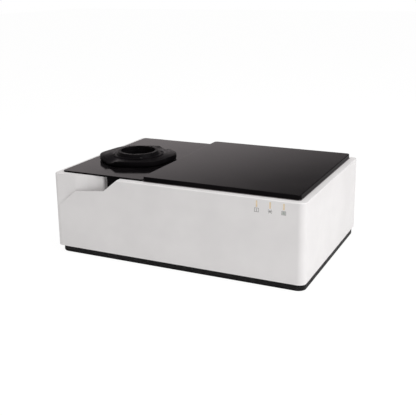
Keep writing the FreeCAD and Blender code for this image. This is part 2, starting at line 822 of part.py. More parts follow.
lid = rounded_plate("lid_body", lid_left, lid_right, lid_front, lid_back, deck, lid_height, lid_corner)
fillet(lid, "lid_edges", lid_edge, lambda edge: lies_at(edge, deck + lid_height))
lid_hollow = rounded_plate("lid_hollow", lid_left + lid_wall, lid_right - lid_wall,
                           lid_front + lid_wall, lid_back - lid_wall, deck - 1,
                           lid_height - lid_wall + 1, lid_corner - lid_wall)
lid_bosses = [
    cylinder(f"lid_boss_{i + 1}", (x, y, deck), lid_boss_radius, lid_height - lid_wall / 2)
    for i, (x, y) in enumerate(lid_screw_places)
]
lid_screw_length = size("lid_screw_length", 6, "screw inside the lid's boss")
lid_boss_holes = [
    cylinder(f"lid_boss_hole_{i + 1}", (x, y, deck - 1), screw_radius, lid_screw_length + 1)
    for i, (x, y) in enumerate(lid_screw_places)
]
lid_shell = cut("lid_shell", lid, [lid_hollow])
keep(cut("top_lid", fuse("lid_full", [lid_shell] + lid_bosses), lid_boss_holes), "top_lid")


def lid_screw(name, x, y):
    head = cylinder(name + "_head", (x, y, ceiling - screw_head_height), screw_head, screw_head_height)
    shank = cylinder(name + "_shank", (x, y, ceiling), screw_radius, deck_thickness + lid_screw_length)
    return fuse(name, [head, shank])


keep(copies("lid_screws", lid_screw, lid_screw_places), "lid_screws")

# Left plate, hinged at its back edge

hinge_y = plate_back
hinge_z = deck + plate_thickness / 2
hinge_places = [(plate_left + plate_right) / 2 + sign * hinge_spread / 2 for sign in (-1, 1)]
hinge_half = hinge_middle / 2 + hinge_gap + hinge_side

plate_block = rounded_plate("plate_block", plate_left, plate_right, plate_front, plate_back, deck,
                            plate_thickness, plate_corner)
fillet(plate_block, "plate_edges", 0.5, lambda edge: lies_at(edge, plate_top))
plate_bore = cylinder("plate_bore", (stage_x, stage_y, deck - 1), bearing_radius, plate_thickness + 2)
hinge_reliefs = [
    box(f"hinge_relief_{i + 1}", (x - hinge_half - hinge_gap, hinge_y - hinge_radius - hinge_gap, deck - 1),
        2 * hinge_half + 2 * hinge_gap, 10, plate_thickness + 2)
    for i, x in enumerate(hinge_places)
]
hinge_barrels = [
    cylinder(f"hinge_barrel_{i + 1}", (x - hinge_middle / 2, hinge_y, hinge_z), hinge_radius,
             hinge_middle, "X")
    for i, x in enumerate(hinge_places)
]
hinge_tongues = [
    box(f"hinge_tongue_{i + 1}",
        (x - hinge_middle / 2, hinge_y - hinge_radius - 1.5, hinge_z - hinge_radius),
        hinge_middle, hinge_radius + 1.5, 2 * hinge_radius)
    for i, x in enumerate(hinge_places)
]
pin_bores = [
    cylinder(f"pin_bore_{i + 1}", (x - hinge_half, hinge_y, hinge_z), hinge_pin_radius,
             2 * hinge_half, "X")
    for i, x in enumerate(hinge_places)
]
plate_open = cut("plate_open", plate_block, [plate_bore] + hinge_reliefs)
plate_full = fuse("plate_full", [plate_open] + hinge_barrels + hinge_tongues)
keep(cut("stage_plate", plate_full, pin_bores), "stage_plate")


def hinge_pin(name, x):
    return cylinder(name, (x - hinge_half, hinge_y, hinge_z), hinge_pin_radius, 2 * hinge_half, "X")


keep(copies("hinge_pins", hinge_pin, [(x,) for x in hinge_places]), "hinge_pins")

pin_clearance = size("pin_clearance", 0.05)


def hinge_bracket(name, x):
    """Leaf on the rim with two knuckles round the pin."""
    leaf = box(name + "_leaf", (x - hinge_half, hinge_y + hinge_radius + 3 * hinge_gap, deck),
               2 * hinge_half, hinge_leaf - 1, 2 * hinge_radius)
    pieces = [leaf]
    for side, start in (("left", x - hinge_half), ("right", x + hinge_middle / 2 + hinge_gap)):
        knuckle = cylinder(f"{name}_{side}_knuckle", (start, hinge_y, hinge_z), hinge_radius,
                           hinge_side, "X")
        web = box(f"{name}_{side}_web", (start, hinge_y, hinge_z - hinge_radius), hinge_side,
                  hinge_radius + 4 * hinge_gap, 2 * hinge_radius)
        pieces += [knuckle, web]
    bore = cylinder(name + "_bore", (x - hinge_half - 1, hinge_y, hinge_z),
                    hinge_pin_radius + pin_clearance, 2 * hinge_half + 2, "X")
    return cut(name, fuse(name + "_solid", pieces), [bore])


keep(copies("hinge_brackets", hinge_bracket, [(x,) for x in hinge_places]), "hinge_brackets")

# Lift tab: hangs from the plate's front edge inside the finger recess

tab_left = left + scoop_end_x + tab_clearance
tab_right = left + notch_end_x - tab_clearance
tab_block = box("tab_block", (tab_left, plate_front + 1, deck - tab_depth), tab_right - tab_left,
                tab_thickness, tab_depth)
tab_foot = box("tab_foot", (tab_left, plate_front + 1, deck - tab_depth), tab_right - tab_left,
               tab_thickness + 2, 3)
keep(round_edges("lift_tab", fuse("tab_solid", [tab_block, tab_foot]), 1.2,
                 lambda edge: lies_at(edge, deck - tab_depth) and edge.BoundBox.XLength > 1), "lift_tab")

# Bearing ring in the left plate

bearing_sleeve = cylinder("bearing_sleeve", (stage_x, stage_y, deck - bearing_drop), bearing_radius,
                          bearing_drop + plate_thickness)
bearing_rim = cylinder("bearing_rim", (stage_x, stage_y, plate_top), bearing_flange,
                       bearing_flange_thickness)
bearing_bore = cylinder("bearing_bore", (stage_x, stage_y, deck - bearing_drop - 1),
                        hub_radius + hub_clearance, bearing_drop + plate_thickness + 4)
keep(cut("stage_bearing", fuse("bearing_solid", [bearing_sleeve, bearing_rim]), [bearing_bore]),
     "stage_bearing")

# Turntable: a bevelled octagon with a hub through the bearing, built on its own axis

collar_screw_ring = (collar_foot + collar_flange) / 2
gear_screw_ring = (hub_radius + gear_bore) / 2


def around(count, first=0.0):
    """Unit directions of evenly spaced spots on a ring."""
    angles = [math.radians(first + 360 * i / count) for i in range(count)]
    return [(math.cos(angle), math.sin(angle)) for angle in angles]


collar_screw_spots = around(4, 45)
gear_screw_spots = around(6)

local_gear_top = gear_top - stage_bottom
local_ledge = deck + cup_floor - stage_bottom


def octagon(body, name, offset, apothem):
    """Regular octagon by its distance across flats."""
    sketch = sketch_on(body, name, offset=offset)
    reach = apothem / math.cos(math.pi / 8)
    corners = []
    for i in range(8):
        angle = math.radians(22.5 + 45 * i)
        corners.append((reach * math.cos(angle), reach * math.sin(angle)))
    draw_outline(sketch, corners)
    return sketch


deck_body = new_body("turntable_deck")
pad(deck_body, "stage_band_pad", octagon(deck_body, "band_outline", 0.0, stage_apothem), stage_band)
bevel = deck_body.newObject("PartDesign::AdditiveLoft", "stage_bevel_loft")
bevel.Profile = octagon(deck_body, "bevel_foot", stage_band, stage_apothem)
bevel.Sections = [octagon(deck_body, "bevel_top", stage_band + stage_bevel, stage_top_apothem)]
bevel.Ruled = True


def is_octagon_corner(edge):
    bounds = edge.BoundBox
    return bounds.ZLength > 0.5 * min(stage_band.value, stage_bevel.value) and edge.Length < 40


fillet(deck_body, "stage_corners", stage_corner, is_octagon_corner)
fillet(deck_body, "stage_rim", 0.8, lambda edge: lies_at(edge, stage_band + stage_bevel))

hub = cylinder("turntable_hub", (0, 0, local_gear_top), hub_radius, -local_gear_top + stage_band)
hub_bore = cylinder("hub_bore", (0, 0, local_gear_top - 1), cup_ledge, stage_deck - gear_top + 2)
cup_well = cylinder("cup_well", (0, 0, local_ledge), cup_radius, stage_deck - deck)
grip_rise = size("grip_rise", 3.2, "scallop floor above the turntable's underside")
grip_reach = stage_apothem + grip_radius / 2
grips = [
    cylinder(f"grip_{i + 1}", (grip_reach * cx, grip_reach * cy, grip_rise), grip_radius, 30)
    for i, (cx, cy) in enumerate(around(2, 45))
]
collar_threads = [
    cylinder(f"collar_thread_{i + 1}", (collar_screw_ring * cx, collar_screw_ring * cy,
                                        stage_band + stage_bevel - collar_screw_depth),
             collar_screw_radius, collar_screw_depth + 1)
    for i, (cx, cy) in enumerate(collar_screw_spots)
]
gear_threads = [
    cylinder(f"gear_thread_{i + 1}", (gear_screw_ring * cx, gear_screw_ring * cy, local_gear_top - 1),
             gear_screw_radius, gear_screw_depth + 1)
    for i, (cx, cy) in enumerate(gear_screw_spots)
]
turntable = cut("turntable", fuse("turntable_solid", [deck_body, hub]),
                [hub_bore, cup_well] + grips + collar_threads + gear_threads)
place(turntable, (stage_x, stage_y, stage_bottom))
turntable.setExpression("Placement.Rotation.Angle", stage_turn.text)
keep(turntable, "turntable")

# Collar round the sample cup, with two finger notches

collar_wall = cone("collar_wall", (0, 0, 0), collar_foot, collar_top, collar_height)
collar_base = cylinder("collar_base", (0, 0, 0), collar_flange, collar_flange_thickness)
collar_bore = cylinder("collar_bore", (0, 0, -1), cup_radius, collar_height + 2)
collar_notch = box("collar_notch", (-collar_flange, -collar_notch_width / 2,
                                    collar_height - collar_notch_depth),
                   2 * collar_flange, collar_notch_width, collar_height)
collar_holes = [
    cylinder(f"collar_hole_{i + 1}", (collar_screw_ring * cx, collar_screw_ring * cy, -1),
             collar_screw_radius, collar_flange_thickness + 2)
    for i, (cx, cy) in enumerate(collar_screw_spots)
]
collar_solid = fuse("collar_solid", [round_edges("collar_lip", collar_wall, 1.5,
                                                 lambda edge: lies_at(edge, collar_height)), collar_base])
collar = cut("cup_collar", collar_solid, [collar_bore, collar_notch] + collar_holes)
place(collar, (stage_x, stage_y, stage_deck))
collar.setExpression("Placement.Rotation.Angle", stage_turn.text)
keep(collar, "cup_collar")

# Collar screws, through the collar's foot into the turntable


def collar_screw(name, cx, cy):
    spot = (collar_screw_ring * cx, collar_screw_ring * cy)
    shank = cylinder(name + "_shank", (*spot, stage_band + stage_bevel - collar_screw_depth),
                     collar_screw_radius, collar_screw_depth + collar_flange_thickness)
    head = cylinder(name + "_head", (*spot, stage_band + stage_bevel + collar_flange_thickness),
                    collar_screw_head, collar_screw_head_height)
    socket = cylinder(name + "_socket", (*spot, stage_band + stage_bevel + collar_flange_thickness + 0.6),
                      collar_screw_radius * 0.8, 5)
    return cut(name, fuse(name + "_solid", [shank, head]), [socket])


collar_screws = copies("collar_screws", collar_screw, collar_screw_spots)
place(collar_screws, (stage_x, stage_y, stage_bottom))
collar_screws.setExpression("Placement.Rotation.Angle", stage_turn.text)
keep(collar_screws, "collar_screws")

# Stage drive: involute ring gear and pinion, motor and bracket


def gear_face(teeth, module, backlash, bore, first):
    """Flat face of a spur gear with involute flanks, its first tooth at the angle first."""
    pitch = module * teeth / 2
    base = pitch * math.cos(math.radians(20))
    tip = pitch + 0.9 * module
    root = pitch - 1.2 * module
    start = max(base, root)

    def polar_angle(radius):
        pressure = math.acos(min(1, base / radius))
        return math.tan(pressure) - pressure

    half = math.pi / (2 * teeth) - backlash / (2 * pitch) + polar_angle(pitch)
    flank = [start + (tip - start) * k / 3 for k in range(4)]
    outline = []
    for tooth in range(teeth):
        middle = math.radians(first + 360 * tooth / teeth)
        rising = [(root, -half)] + [(r, -half + polar_angle(r)) for r in flank]
        for radius, angle in rising + [(r, -a) for r, a in reversed(rising)]:
            outline.append(Vector(radius * math.cos(middle + angle), radius * math.sin(middle + angle), 0))
    rim = Part.Face(Part.makePolygon(outline + outline[:1]))
    return rim.cut(Part.Face(Part.Wire(Part.makeCircle(bore))))


ring_face = gear_face(int(gear_teeth.value), gear_module.value, gear_backlash.value, gear_bore.value, 90)
ring_solid = ring_face.extrude(Vector(0, 0, gear_thickness.value))
ring_holes = [
    Part.makeCylinder(gear_screw_radius.value, gear_thickness.value + 2,
                      Vector(gear_screw_ring.value * cx, gear_screw_ring.value * cy, -1))
    for cx, cy in around(6, stage_turn.value)
]
keep(shape_feature("ring_gear", ring_solid.cut(ring_holes), (stage_x, stage_y, gear_bottom)), "ring_gear")


def gear_screw(name, cx, cy):
    spot = (gear_screw_ring * cx, gear_screw_ring * cy)
    head = cylinder(name + "_head", (*spot, local_gear_top - gear_thickness - gear_screw_head_height),
                    gear_screw_radius * 1.8, gear_screw_head_height)
    shank = cylinder(name + "_shank", (*spot, local_gear_top - gear_thickness), gear_screw_radius,
                     gear_thickness + gear_screw_depth)
    return fuse(name, [head, shank])


gear_screws = copies("gear_screws", gear_screw, gear_screw_spots)
place(gear_screws, (stage_x, stage_y, stage_bottom))
gear_screws.setExpression("Placement.Rotation.Angle", stage_turn.text)
keep(gear_screws, "gear_screws")

pinion_face = gear_face(int(pinion_teeth.value), gear_module.value, gear_backlash.value,
                        motor_shaft_radius.value, 180 / pinion_teeth.value - 90)
pinion_solid = pinion_face.extrude(Vector(0, 0, gear_thickness.value))
keep(shape_feature("drive_pinion", pinion_solid, (stage_x, motor_y, gear_bottom)), "drive_pinion")
keep(cylinder("motor_shaft", (stage_x, motor_y, motor_top - shaft_sink), motor_shaft_radius,
              gear_top - motor_top + shaft_sink), "motor_shaft")

motor_can = rounded_plate("motor_can", stage_x - motor_width / 2, stage_x + motor_width / 2,
                          motor_y - motor_width / 2, motor_y + motor_width / 2,
                          motor_top - motor_height, motor_height, motor_corner)
motor_pilot = cylinder("motor_pilot", (stage_x, motor_y, motor_top), pilot_radius, bracket_sheet / 2)
motor_bore = cylinder("motor_bore", (stage_x, motor_y, motor_top - shaft_sink - 1),
                      motor_shaft_radius + hub_clearance, shaft_sink + bracket_sheet)
keep(cut("stage_motor", fuse("motor_solid", [motor_can, motor_pilot]), [motor_bore]), "stage_motor")

leg_reach = motor_width / 2 + bracket_leg_gap
bracket_pan = centred_box("bracket_pan", (stage_x, motor_y, motor_top),
                          2 * leg_reach + 2 * bracket_sheet, motor_width, bracket_sheet)
bracket_hole = cylinder("bracket_hole", (stage_x, motor_y, motor_top - 1), pilot_radius + 0.2,
                        bracket_sheet + 2)
bracket_legs = []
for side in (-1, 1):
    leg_start = stage_x + side * leg_reach + (side - 1) / 2 * bracket_sheet
    ear_start = stage_x + side * (leg_reach + bracket_ear / 2) - bracket_ear / 2
    leg = box("bracket_leg", (leg_start, motor_y - motor_width / 2 + bracket_leg_setback, motor_top),
              bracket_sheet, motor_width - bracket_leg_setback, deck - motor_top)
    ear = box("bracket_ear", (ear_start, motor_y - motor_width / 2 + bracket_leg_setback,
                              deck - bracket_sheet),
              bracket_ear, motor_width - bracket_leg_setback, bracket_sheet)
    bracket_legs += [leg, ear]
keep(cut("motor_bracket", fuse("bracket_solid", [bracket_pan] + bracket_legs), [bracket_hole]),
     "motor_bracket")

# Tub below the stage, hung in the deck's opening

liner_left = bay_left + liner_clearance
liner_right = bay_right - liner_clearance
liner_front = bay_front + liner_clearance
liner_back = bay_back - liner_clearance
liner_block = rounded_plate("liner_block", liner_left, liner_right, liner_front, liner_back,
                            liner_floor_height, ceiling - liner_floor_height, corner_radius / 2)
liner_hollow = rounded_plate("liner_hollow", liner_left + liner_sheet, liner_right - liner_sheet,
                             liner_front + liner_sheet, liner_back - liner_sheet,
                             liner_floor_height + liner_sheet, deck - liner_floor_height,
                             corner_radius / 2 - liner_sheet)
liner_rim = rounded_plate("liner_rim", liner_left - liner_flange, liner_right + liner_flange,
                          liner_front - liner_flange, liner_back + liner_flange,
                          ceiling - liner_sheet, liner_sheet, corner_radius / 2)
liner_hole = cylinder("liner_hole", (stage_x, stage_y, liner_floor_height - 1), head_radius + 1,
                      liner_sheet + 2)
liner_solid = fuse("liner_solid", [liner_block, liner_rim])
keep(cut("bay_liner", liner_solid, [liner_hollow, liner_hole]), "bay_liner")

# Rear panel with power inlet, rocker switch, sockets and fan

panel_y = inner_back - panel_thickness
panel_middle = (panel_bottom + panel_top) / 2
outside = inner_back


def panel_opening(name, x, width, height):
    return box(name, (x - width / 2, panel_y - 1, panel_middle - height / 2), width,
               panel_thickness + 2, height)


panel_sheet = box("panel_sheet", (panel_left, panel_y, panel_bottom), panel_right - panel_left,
                  panel_thickness, panel_top - panel_bottom)
keep(cut("rear_panel", panel_sheet, [
    panel_opening("inlet_opening", inlet_x, inlet_width, inlet_height),
    panel_opening("switch_opening", switch_x, switch_width, switch_height),
    panel_opening("usb_opening", usb_x, usb_width, usb_height),
    panel_opening("network_opening", network_x, network_width, network_height),
    cylinder("fan_opening", (fan_x, panel_y - 1, panel_middle), fan_size / 2 - 2, panel_thickness + 2, "Y"),
]), "rear_panel")

inlet_body = box("inlet_body", (inlet_x - inlet_width / 2, outside - inlet_depth,
                                panel_middle - inlet_height / 2), inlet_width, inlet_depth, inlet_height)
inlet_bezel = box("inlet_bezel", (inlet_x - inlet_width / 2 - bezel, outside,
                                  panel_middle - inlet_height / 2 - bezel),
                  inlet_width + 2 * bezel, bezel_thickness, inlet_height + 2 * bezel)
inlet_socket = new_body("inlet_socket")
inlet_socket_sketch = sketch_on(inlet_socket, "inlet_socket_sketch", "XZ_Plane",
                                offset=-(outside + bezel_thickness + 1))
half_width = inlet_width / 2 - inlet_wall
half_height = inlet_height / 2 - inlet_wall
draw_outline(inlet_socket_sketch, [
    (inlet_x - half_width, panel_middle - half_height),
    (inlet_x + half_width, panel_middle - half_height),
    (inlet_x + half_width, panel_middle + half_height - inlet_chamfer),
    (inlet_x + half_width - inlet_chamfer, panel_middle + half_height),
    (inlet_x - half_width + inlet_chamfer, panel_middle + half_height),
    (inlet_x - half_width, panel_middle + half_height - inlet_chamfer),
])
pad(inlet_socket, "inlet_socket_pad", inlet_socket_sketch, inlet_depth - inlet_wall + bezel_thickness + 1)
keep(cut("power_inlet", fuse("inlet_solid", [inlet_body, inlet_bezel]), [inlet_socket]), "power_inlet")


def inlet_pin(name, x, z):
    floor_y = outside - inlet_depth + inlet_wall
    return box(name, (inlet_x + x - inlet_pin_width / 2, floor_y, panel_middle + z - inlet_pin_height / 2),
               inlet_pin_width, inlet_pin_length, inlet_pin_height)


keep(copies("inlet_pins", inlet_pin, [(-inlet_pin_pitch, -1.5), (0, 2.5),
                                      (inlet_pin_pitch, -1.5)]), "inlet_pins")

switch_depth = size("switch_depth", 14)
rocker_wall = size("rocker_wall", 1.6)
rocker_tilt = size("rocker_tilt", 10, "rocker at rest, off side pressed")
rocker_pivot = size("rocker_pivot", 2, "pivot inside the bezel's face")
switch_body = box("switch_body", (switch_x - switch_width / 2, outside - switch_depth,
                                  panel_middle - switch_height / 2),
                  switch_width, switch_depth, switch_height)
switch_bezel = box("switch_bezel", (switch_x - switch_width / 2 - bezel, outside,
                                    panel_middle - switch_height / 2 - bezel),
                   switch_width + 2 * bezel, bezel_thickness, switch_height + 2 * bezel)
switch_well = box("switch_well", (switch_x - switch_width / 2 + rocker_wall, outside - 8,
                                  panel_middle - switch_height / 2 + rocker_wall),
                  switch_width - 2 * rocker_wall, 8 + bezel_thickness + 1, switch_height - 2 * rocker_wall)
stub_radius = size("stub_radius", 1.2, "rocker's pivot stubs")
stub_length = size("stub_length", 0.9)
stub_play = size("stub_play", 0.15)
rocker_half = switch_height / 2 - rocker_wall - 0.7
rocker_width = switch_width - 2 * rocker_wall - 0.6
stub_hole_half = rocker_width / 2 + stub_length + stub_play
stub_hole = cylinder("stub_hole", (switch_x - stub_hole_half, outside, panel_middle),
                     stub_radius + stub_play, 2 * stub_hole_half, "X")
keep(cut("switch_frame", fuse("switch_solid", [switch_body, switch_bezel]), [switch_well, stub_hole]),
     "switch_frame")

rocker_slab = box("rocker_slab", (-rocker_width / 2, -2.0, -rocker_half), rocker_width, 3.2,
                  2 * rocker_half)
rocker_dish = cylinder("rocker_dish", (-rocker_width, rocker_dish_radius + 0.4, 0), rocker_dish_radius,
                       2 * rocker_width, "X")
rocker_stubs = [
    cylinder(f"rocker_stub_{i + 1}", (start, 0, 0), stub_radius, stub_length + stub_play, "X")
    for i, start in enumerate((-rocker_width / 2 - stub_length, rocker_width / 2 - stub_play))
]
rocker = fuse("power_rocker", [cut("rocker_key", rocker_slab, [rocker_dish])] + rocker_stubs)
place(rocker, (switch_x, outside, panel_middle), Rotation(Vector(1, 0, 0), -rocker_tilt.value))
keep(rocker, "power_rocker")


def port(name, x, width, height, depth, hollow_width, hollow_height):
    """Metal-shelled socket through the rear panel."""
    shell_box = box(name + "_shell", (x - width / 2, outside - depth, panel_middle - height / 2), width,
                    depth + port_lip, height)
    hollow = box(name + "_hollow", (x - hollow_width / 2, outside - depth + 2,
                                    panel_middle - hollow_height / 2),
                 hollow_width, depth + port_lip, hollow_height)
    return cut(name, shell_box, [hollow])


port_lip = size("port_lip", 1, "socket beyond the panel")
port_wall = size("port_wall", 1.2)
keep(port("usb_socket", usb_x, usb_width, usb_height, usb_depth, usb_width - 2 * port_wall,
          usb_height - 2 * port_wall), "usb_socket")
keep(port("network_socket", network_x, network_width, network_height, network_depth,
          network_width - 2 * port_wall, network_height - 2 * port_wall), "network_socket")

fan_block = box("fan_block", (fan_x - fan_size / 2, panel_y - fan_depth, panel_middle - fan_size / 2),
                fan_size, fan_depth, fan_size)
fan_duct = cylinder("fan_duct", (fan_x, panel_y - fan_depth - 1, panel_middle), fan_size / 2 - 2,
                    fan_depth + 2, "Y")
fan_boss = cylinder("fan_boss", (fan_x, panel_y - fan_depth, panel_middle), fan_hub, 4, "Y")
fan_post = cylinder("fan_post", (fan_x, panel_y - fan_depth, panel_middle), fan_pin, fan_depth - 5, "Y")
fan_strut = size("fan_strut", 3)
fan_struts = []
for i in range(4):
    turn = Rotation(Vector(0, 1, 0), 45 + 90 * i)
    corner = turn.multVec(Vector(-fan_strut.value / 2, 0, 0))
    reach = turn.multVec(Vector(0, 0, 1))
    strut = box(f"fan_strut_{i + 1}", (0, 0, 0), fan_strut, 2.5, fan_size / 2 - fan_hub)
    place(strut, (fan_x + corner.x + (fan_hub - 1) * reach.x, panel_y - fan_depth,
                  panel_middle + corner.z + (fan_hub - 1) * reach.z), turn)
    fan_struts.append(strut)

fan_screw_ring = fan_size / 2 - 4
fan_bores = [
    cylinder(f"fan_bore_{i + 1}", (fan_x + sx * fan_screw_ring, panel_y - fan_depth - 1,
                                   panel_middle + sz * fan_screw_ring), 2.2, fan_depth + 2, "Y")
    for i, (sx, sz) in enumerate([(-1, -1), (1, -1), (1, 1), (-1, 1)])
]
fan_hollow = cut("fan_hollow", fan_block, [fan_duct] + fan_bores)
keep(fuse("fan_frame", [fan_hollow, fan_boss, fan_post] + fan_struts), "fan_frame")


def fan_blade(angle):
    """Twisted blade lofted from the hub to the tip along local Z, turned about Y."""
    sections = []
    for share in (0.0, 0.5, 1.0):
        reach = fan_hub.value - 0.5 + share * (fan_size.value / 2 - 2 - fan_running_gap.value
                                               - fan_hub.value + 0.5)
        chord = 11 + 3 * share
        tilt = math.radians(fan_pitch.value * (1 - 0.35 * share))
        along = Vector(math.cos(tilt), math.sin(tilt), 0) * (chord / 2)
        across = Vector(-math.sin(tilt), math.cos(tilt), 0) * 0.6
        centre = Vector(0, 0, reach)
        corners = [centre - along - across, centre + along - across,
                   centre + along + across, centre - along + across]
        sections.append(Part.makePolygon(corners + corners[:1]))
    blade = Part.makeLoft(sections, True, True)
    blade.rotate(Vector(), Vector(0, 1, 0), angle)
    return blade


rotor_start = 4 + fan_running_gap
rotor_depth = fan_depth - rotor_start - 2
rotor_hub = Part.makeCylinder(fan_hub.value, rotor_depth.value, Vector(0, rotor_start.value, 0),
                              Vector(0, 1, 0))
rotor_bore = Part.makeCylinder(fan_pin.value + 0.2, rotor_depth.value - 2, Vector(0, rotor_start.value, 0),
                               Vector(0, 1, 0))
blades = [fan_blade(360 * i / fan_blades.value) for i in range(int(fan_blades.value))]
for blade in blades:
    blade.translate(Vector(0, rotor_start.value + rotor_depth.value / 2, 0))
keep(shape_feature("fan_rotor", rotor_hub.fuse(blades).cut(rotor_bore).removeSplitter(),
                   (fan_x, panel_y - fan_depth, panel_middle)), "fan_rotor")

guard_wire = size("guard_wire", 1.2)
guard_step = size("guard_step", 7)
guard_y = outside + guard_wire / 2
guard_rings = []
for i in range(4):
    ring = doc.addObject("Part::Torus", f"guard_ring_{i + 1}")
    bind(ring, "Radius1", fan_size / 2 - 4 - i * guard_step)
    bind(ring, "Radius2", guard_wire / 2)
    place(ring, (fan_x, guard_y, panel_middle), Rotation(Vector(1, 0, 0), 90))
    guard_rings.append(ring)
guard_spokes = []
for i in range(4):
    turn = Rotation(Vector(0, 1, 0), 45 + 90 * i)
    inner = fan_size / 2 - 4 - 3 * guard_step - guard_wire
    spoke = cylinder(f"guard_spoke_{i + 1}", (0, 0, 0), guard_wire / 2, fan_screw_ring * 1.4142 - inner)
    reach = turn.multVec(Vector(0, 0, 1))
    place(spoke, (fan_x + inner * reach.x, guard_y, panel_middle + inner * reach.z), turn)
    guard_spokes.append(spoke)
keep(fuse("fan_guard", guard_rings + guard_spokes), "fan_guard")

# Power supply and main board on the chassis

supply_y = inner_back - inlet_depth - supply_width - 12
supply_case = box("supply_case", (supply_x - supply_length / 2, supply_y, chassis_top), supply_length,
                  supply_width, supply_height)
supply_slots = [
    box(f"supply_slot_{i + 1}", (supply_x - supply_length / 2 + 14 + i * 10, supply_y + 12,
                                 chassis_top + supply_height - 1.5), 4, supply_width - 24, 3)
    for i in range(int(supply_length.value / 12))
]
keep(cut("power_supply", supply_case, supply_slots), "power_supply")

board_y = front + chassis_inset + 20
board_z = chassis_top + board_lift
board_spots = [
    (board_x + sx * (board_length / 2 - 6), board_y + board_width / 2 + sy * (board_width / 2 - 6))
    for sx in (-1, 1) for sy in (-1, 1)
]


def standoff(name, x, y):
    return cylinder(name, (x, y, chassis_top), standoff_radius, board_lift)


keep(copies("board_standoffs", standoff, board_spots), "board_standoffs")
board_sheet = box("board_sheet", (board_x - board_length / 2, board_y, board_z), board_length,
                  board_width, board_thickness)
board_chips = [
    centred_box(f"board_chip_{i + 1}", (board_x + dx, board_y + board_width / 2 + dy,
                                        board_z + board_thickness), wide, deep, tall)
    for i, (dx, dy, wide, deep, tall) in enumerate([
        (-30, 10, 24, 24, 2.5), (14, -18, 14, 10, 2), (36, 22, 30, 12, 9), (-40, -34, 18, 9, 10)])
]
keep(fuse("main_board", [board_sheet] + board_chips), "main_board")

# Light bars in the front wall, with their board

pipe_bar = size("pipe_bar", 2.6)
pipe_front = front + size("pipe_setback", 0.3, "bars behind the front face")
pipe_bars = [
    box(f"pipe_bar_{i + 1}", (x - lamp_bar_width / 2, pipe_front, lamp_top - lamp_bar_height),
        lamp_bar_width, inner_front - pipe_front + 0.5, lamp_bar_height)
    for i, x in enumerate(lamp_places)
]
pipe_rail = box("pipe_rail", (lamp_places[0] - 6, inner_front, lamp_top - lamp_bar_height),
                lamp_places[2] - lamp_places[0] + 12, pipe_bar, lamp_bar_height)
keep(fuse("light_pipe", [pipe_rail] + pipe_bars), "light_pipe")

led_board = box("led_board", (board_post_x[0] - 5, inner_front + board_post, lamp_top - lamp_bar_height),
                board_post_x[1] - board_post_x[0] + 10, board_thickness, lamp_bar_height)
leds = [
    box(f"led_{i + 1}", (x - 1.5, inner_front + pipe_bar, board_post_z - 1.5), 3,
        board_post - pipe_bar + 0.2, 3)
    for i, x in enumerate(lamp_places)
]
keep(fuse("indicator_board", [led_board] + leds), "indicator_board")

# Optical bench on rubber isolators

bench_z = chassis_top + bench_lift
bench_top = bench_z + bench_thickness
bench_left = stage_x - bench_left_reach
bench_right = grating_x + grating_motor_radius + 14
isolator_spots = [
    (x, y) for x in (bench_left + 16, bench_right - 16) for y in (bench_front + 16, bench_back - 16)
]


def isolator(name, x, y):
    low = cylinder(name + "_low", (x, y, chassis_top), isolator_radius, bench_lift)
    groove = doc.addObject("Part::Torus", name + "_groove")
    bind(groove, "Radius1", isolator_radius + 1)
    bind(groove, "Radius2", bench_lift / 4)
    place(groove, (x, y, chassis_top + bench_lift / 2))
    return cut(name, low, [groove])


keep(copies("bench_isolators", isolator, isolator_spots), "bench_isolators")
bench_slab = rounded_plate("bench_slab", bench_left, bench_right, bench_front, bench_back, bench_z,
                           bench_thickness, 8)
bench_frame = rounded_plate("bench_frame", bench_left + bench_rib, bench_right - bench_rib,
                            bench_front + bench_rib, bench_back - bench_rib,
                            bench_top - bench_thickness / 2, bench_thickness, 6)
grating_bore = cylinder("grating_bore", (grating_x, grating_y, bench_z - 1), grating_shaft_radius + 0.3,
                        bench_thickness)
keep(cut("optical_bench", bench_slab, [bench_frame, grating_bore]), "optical_bench")
bench_floor = bench_top - bench_thickness / 2


def slit_block(name, y):
    block = box(name + "_block", (slit_x - slit_thickness / 2, y - slit_block_width / 2, bench_floor),
                slit_thickness, slit_block_width, beam_height - bench_floor + 12)
    gap = box(name + "_gap", (slit_x - slit_thickness, y - slit_width / 2, beam_height - slit_length / 2),
              2 * slit_thickness, slit_width, slit_length)
    flare = cone(name + "_flare", (slit_x - slit_thickness / 2 - 1, y, beam_height), slit_length * 0.75,
                 slit_length * 0.2, slit_thickness / 2, "X")
    return cut(name, block, [gap, flare])


keep(slit_block("entrance_slit", entrance_slit_y), "entrance_slit")
keep(slit_block("exit_slit", exit_slit_y), "exit_slit")

# Filter wheel between lamp and entrance slit

wheel_x = slit_x - slit_thickness / 2 - wheel_gap - wheel_thickness
wheel_y = entrance_slit_y - wheel_ring
wheel_disc = cylinder("wheel_disc", (wheel_x, wheel_y, beam_height), wheel_radius, wheel_thickness, "X")
wheel_spots = [
    (wheel_y + wheel_ring * math.cos(2 * math.pi * i / filter_count.value),
     beam_height + wheel_ring * math.sin(2 * math.pi * i / filter_count.value))
    for i in range(int(filter_count.value))
]
wheel_shaft_radius = size("wheel_shaft_radius", 1.5)
wheel_shaft_length = size("wheel_shaft_length", 8)
wheel_shaft = cylinder("wheel_shaft", (wheel_x - wheel_shaft_length, wheel_y, beam_height),
                       wheel_shaft_radius, wheel_shaft_length, "X")
wheel_holes = [
    cylinder(f"wheel_hole_{i + 1}", (wheel_x - 1, y, z), filter_radius, wheel_thickness + 2, "X")
    for i, (y, z) in enumerate(wheel_spots)
]
keep(cut("filter_wheel", fuse("wheel_solid", [wheel_disc, wheel_shaft]), wheel_holes), "filter_wheel")


def order_filter(name, y, z):
    return cylinder(name, (wheel_x + wheel_thickness / 4, y, z), filter_radius, wheel_thickness / 2, "X")


keep(copies("order_filters", order_filter, wheel_spots), "order_filters")

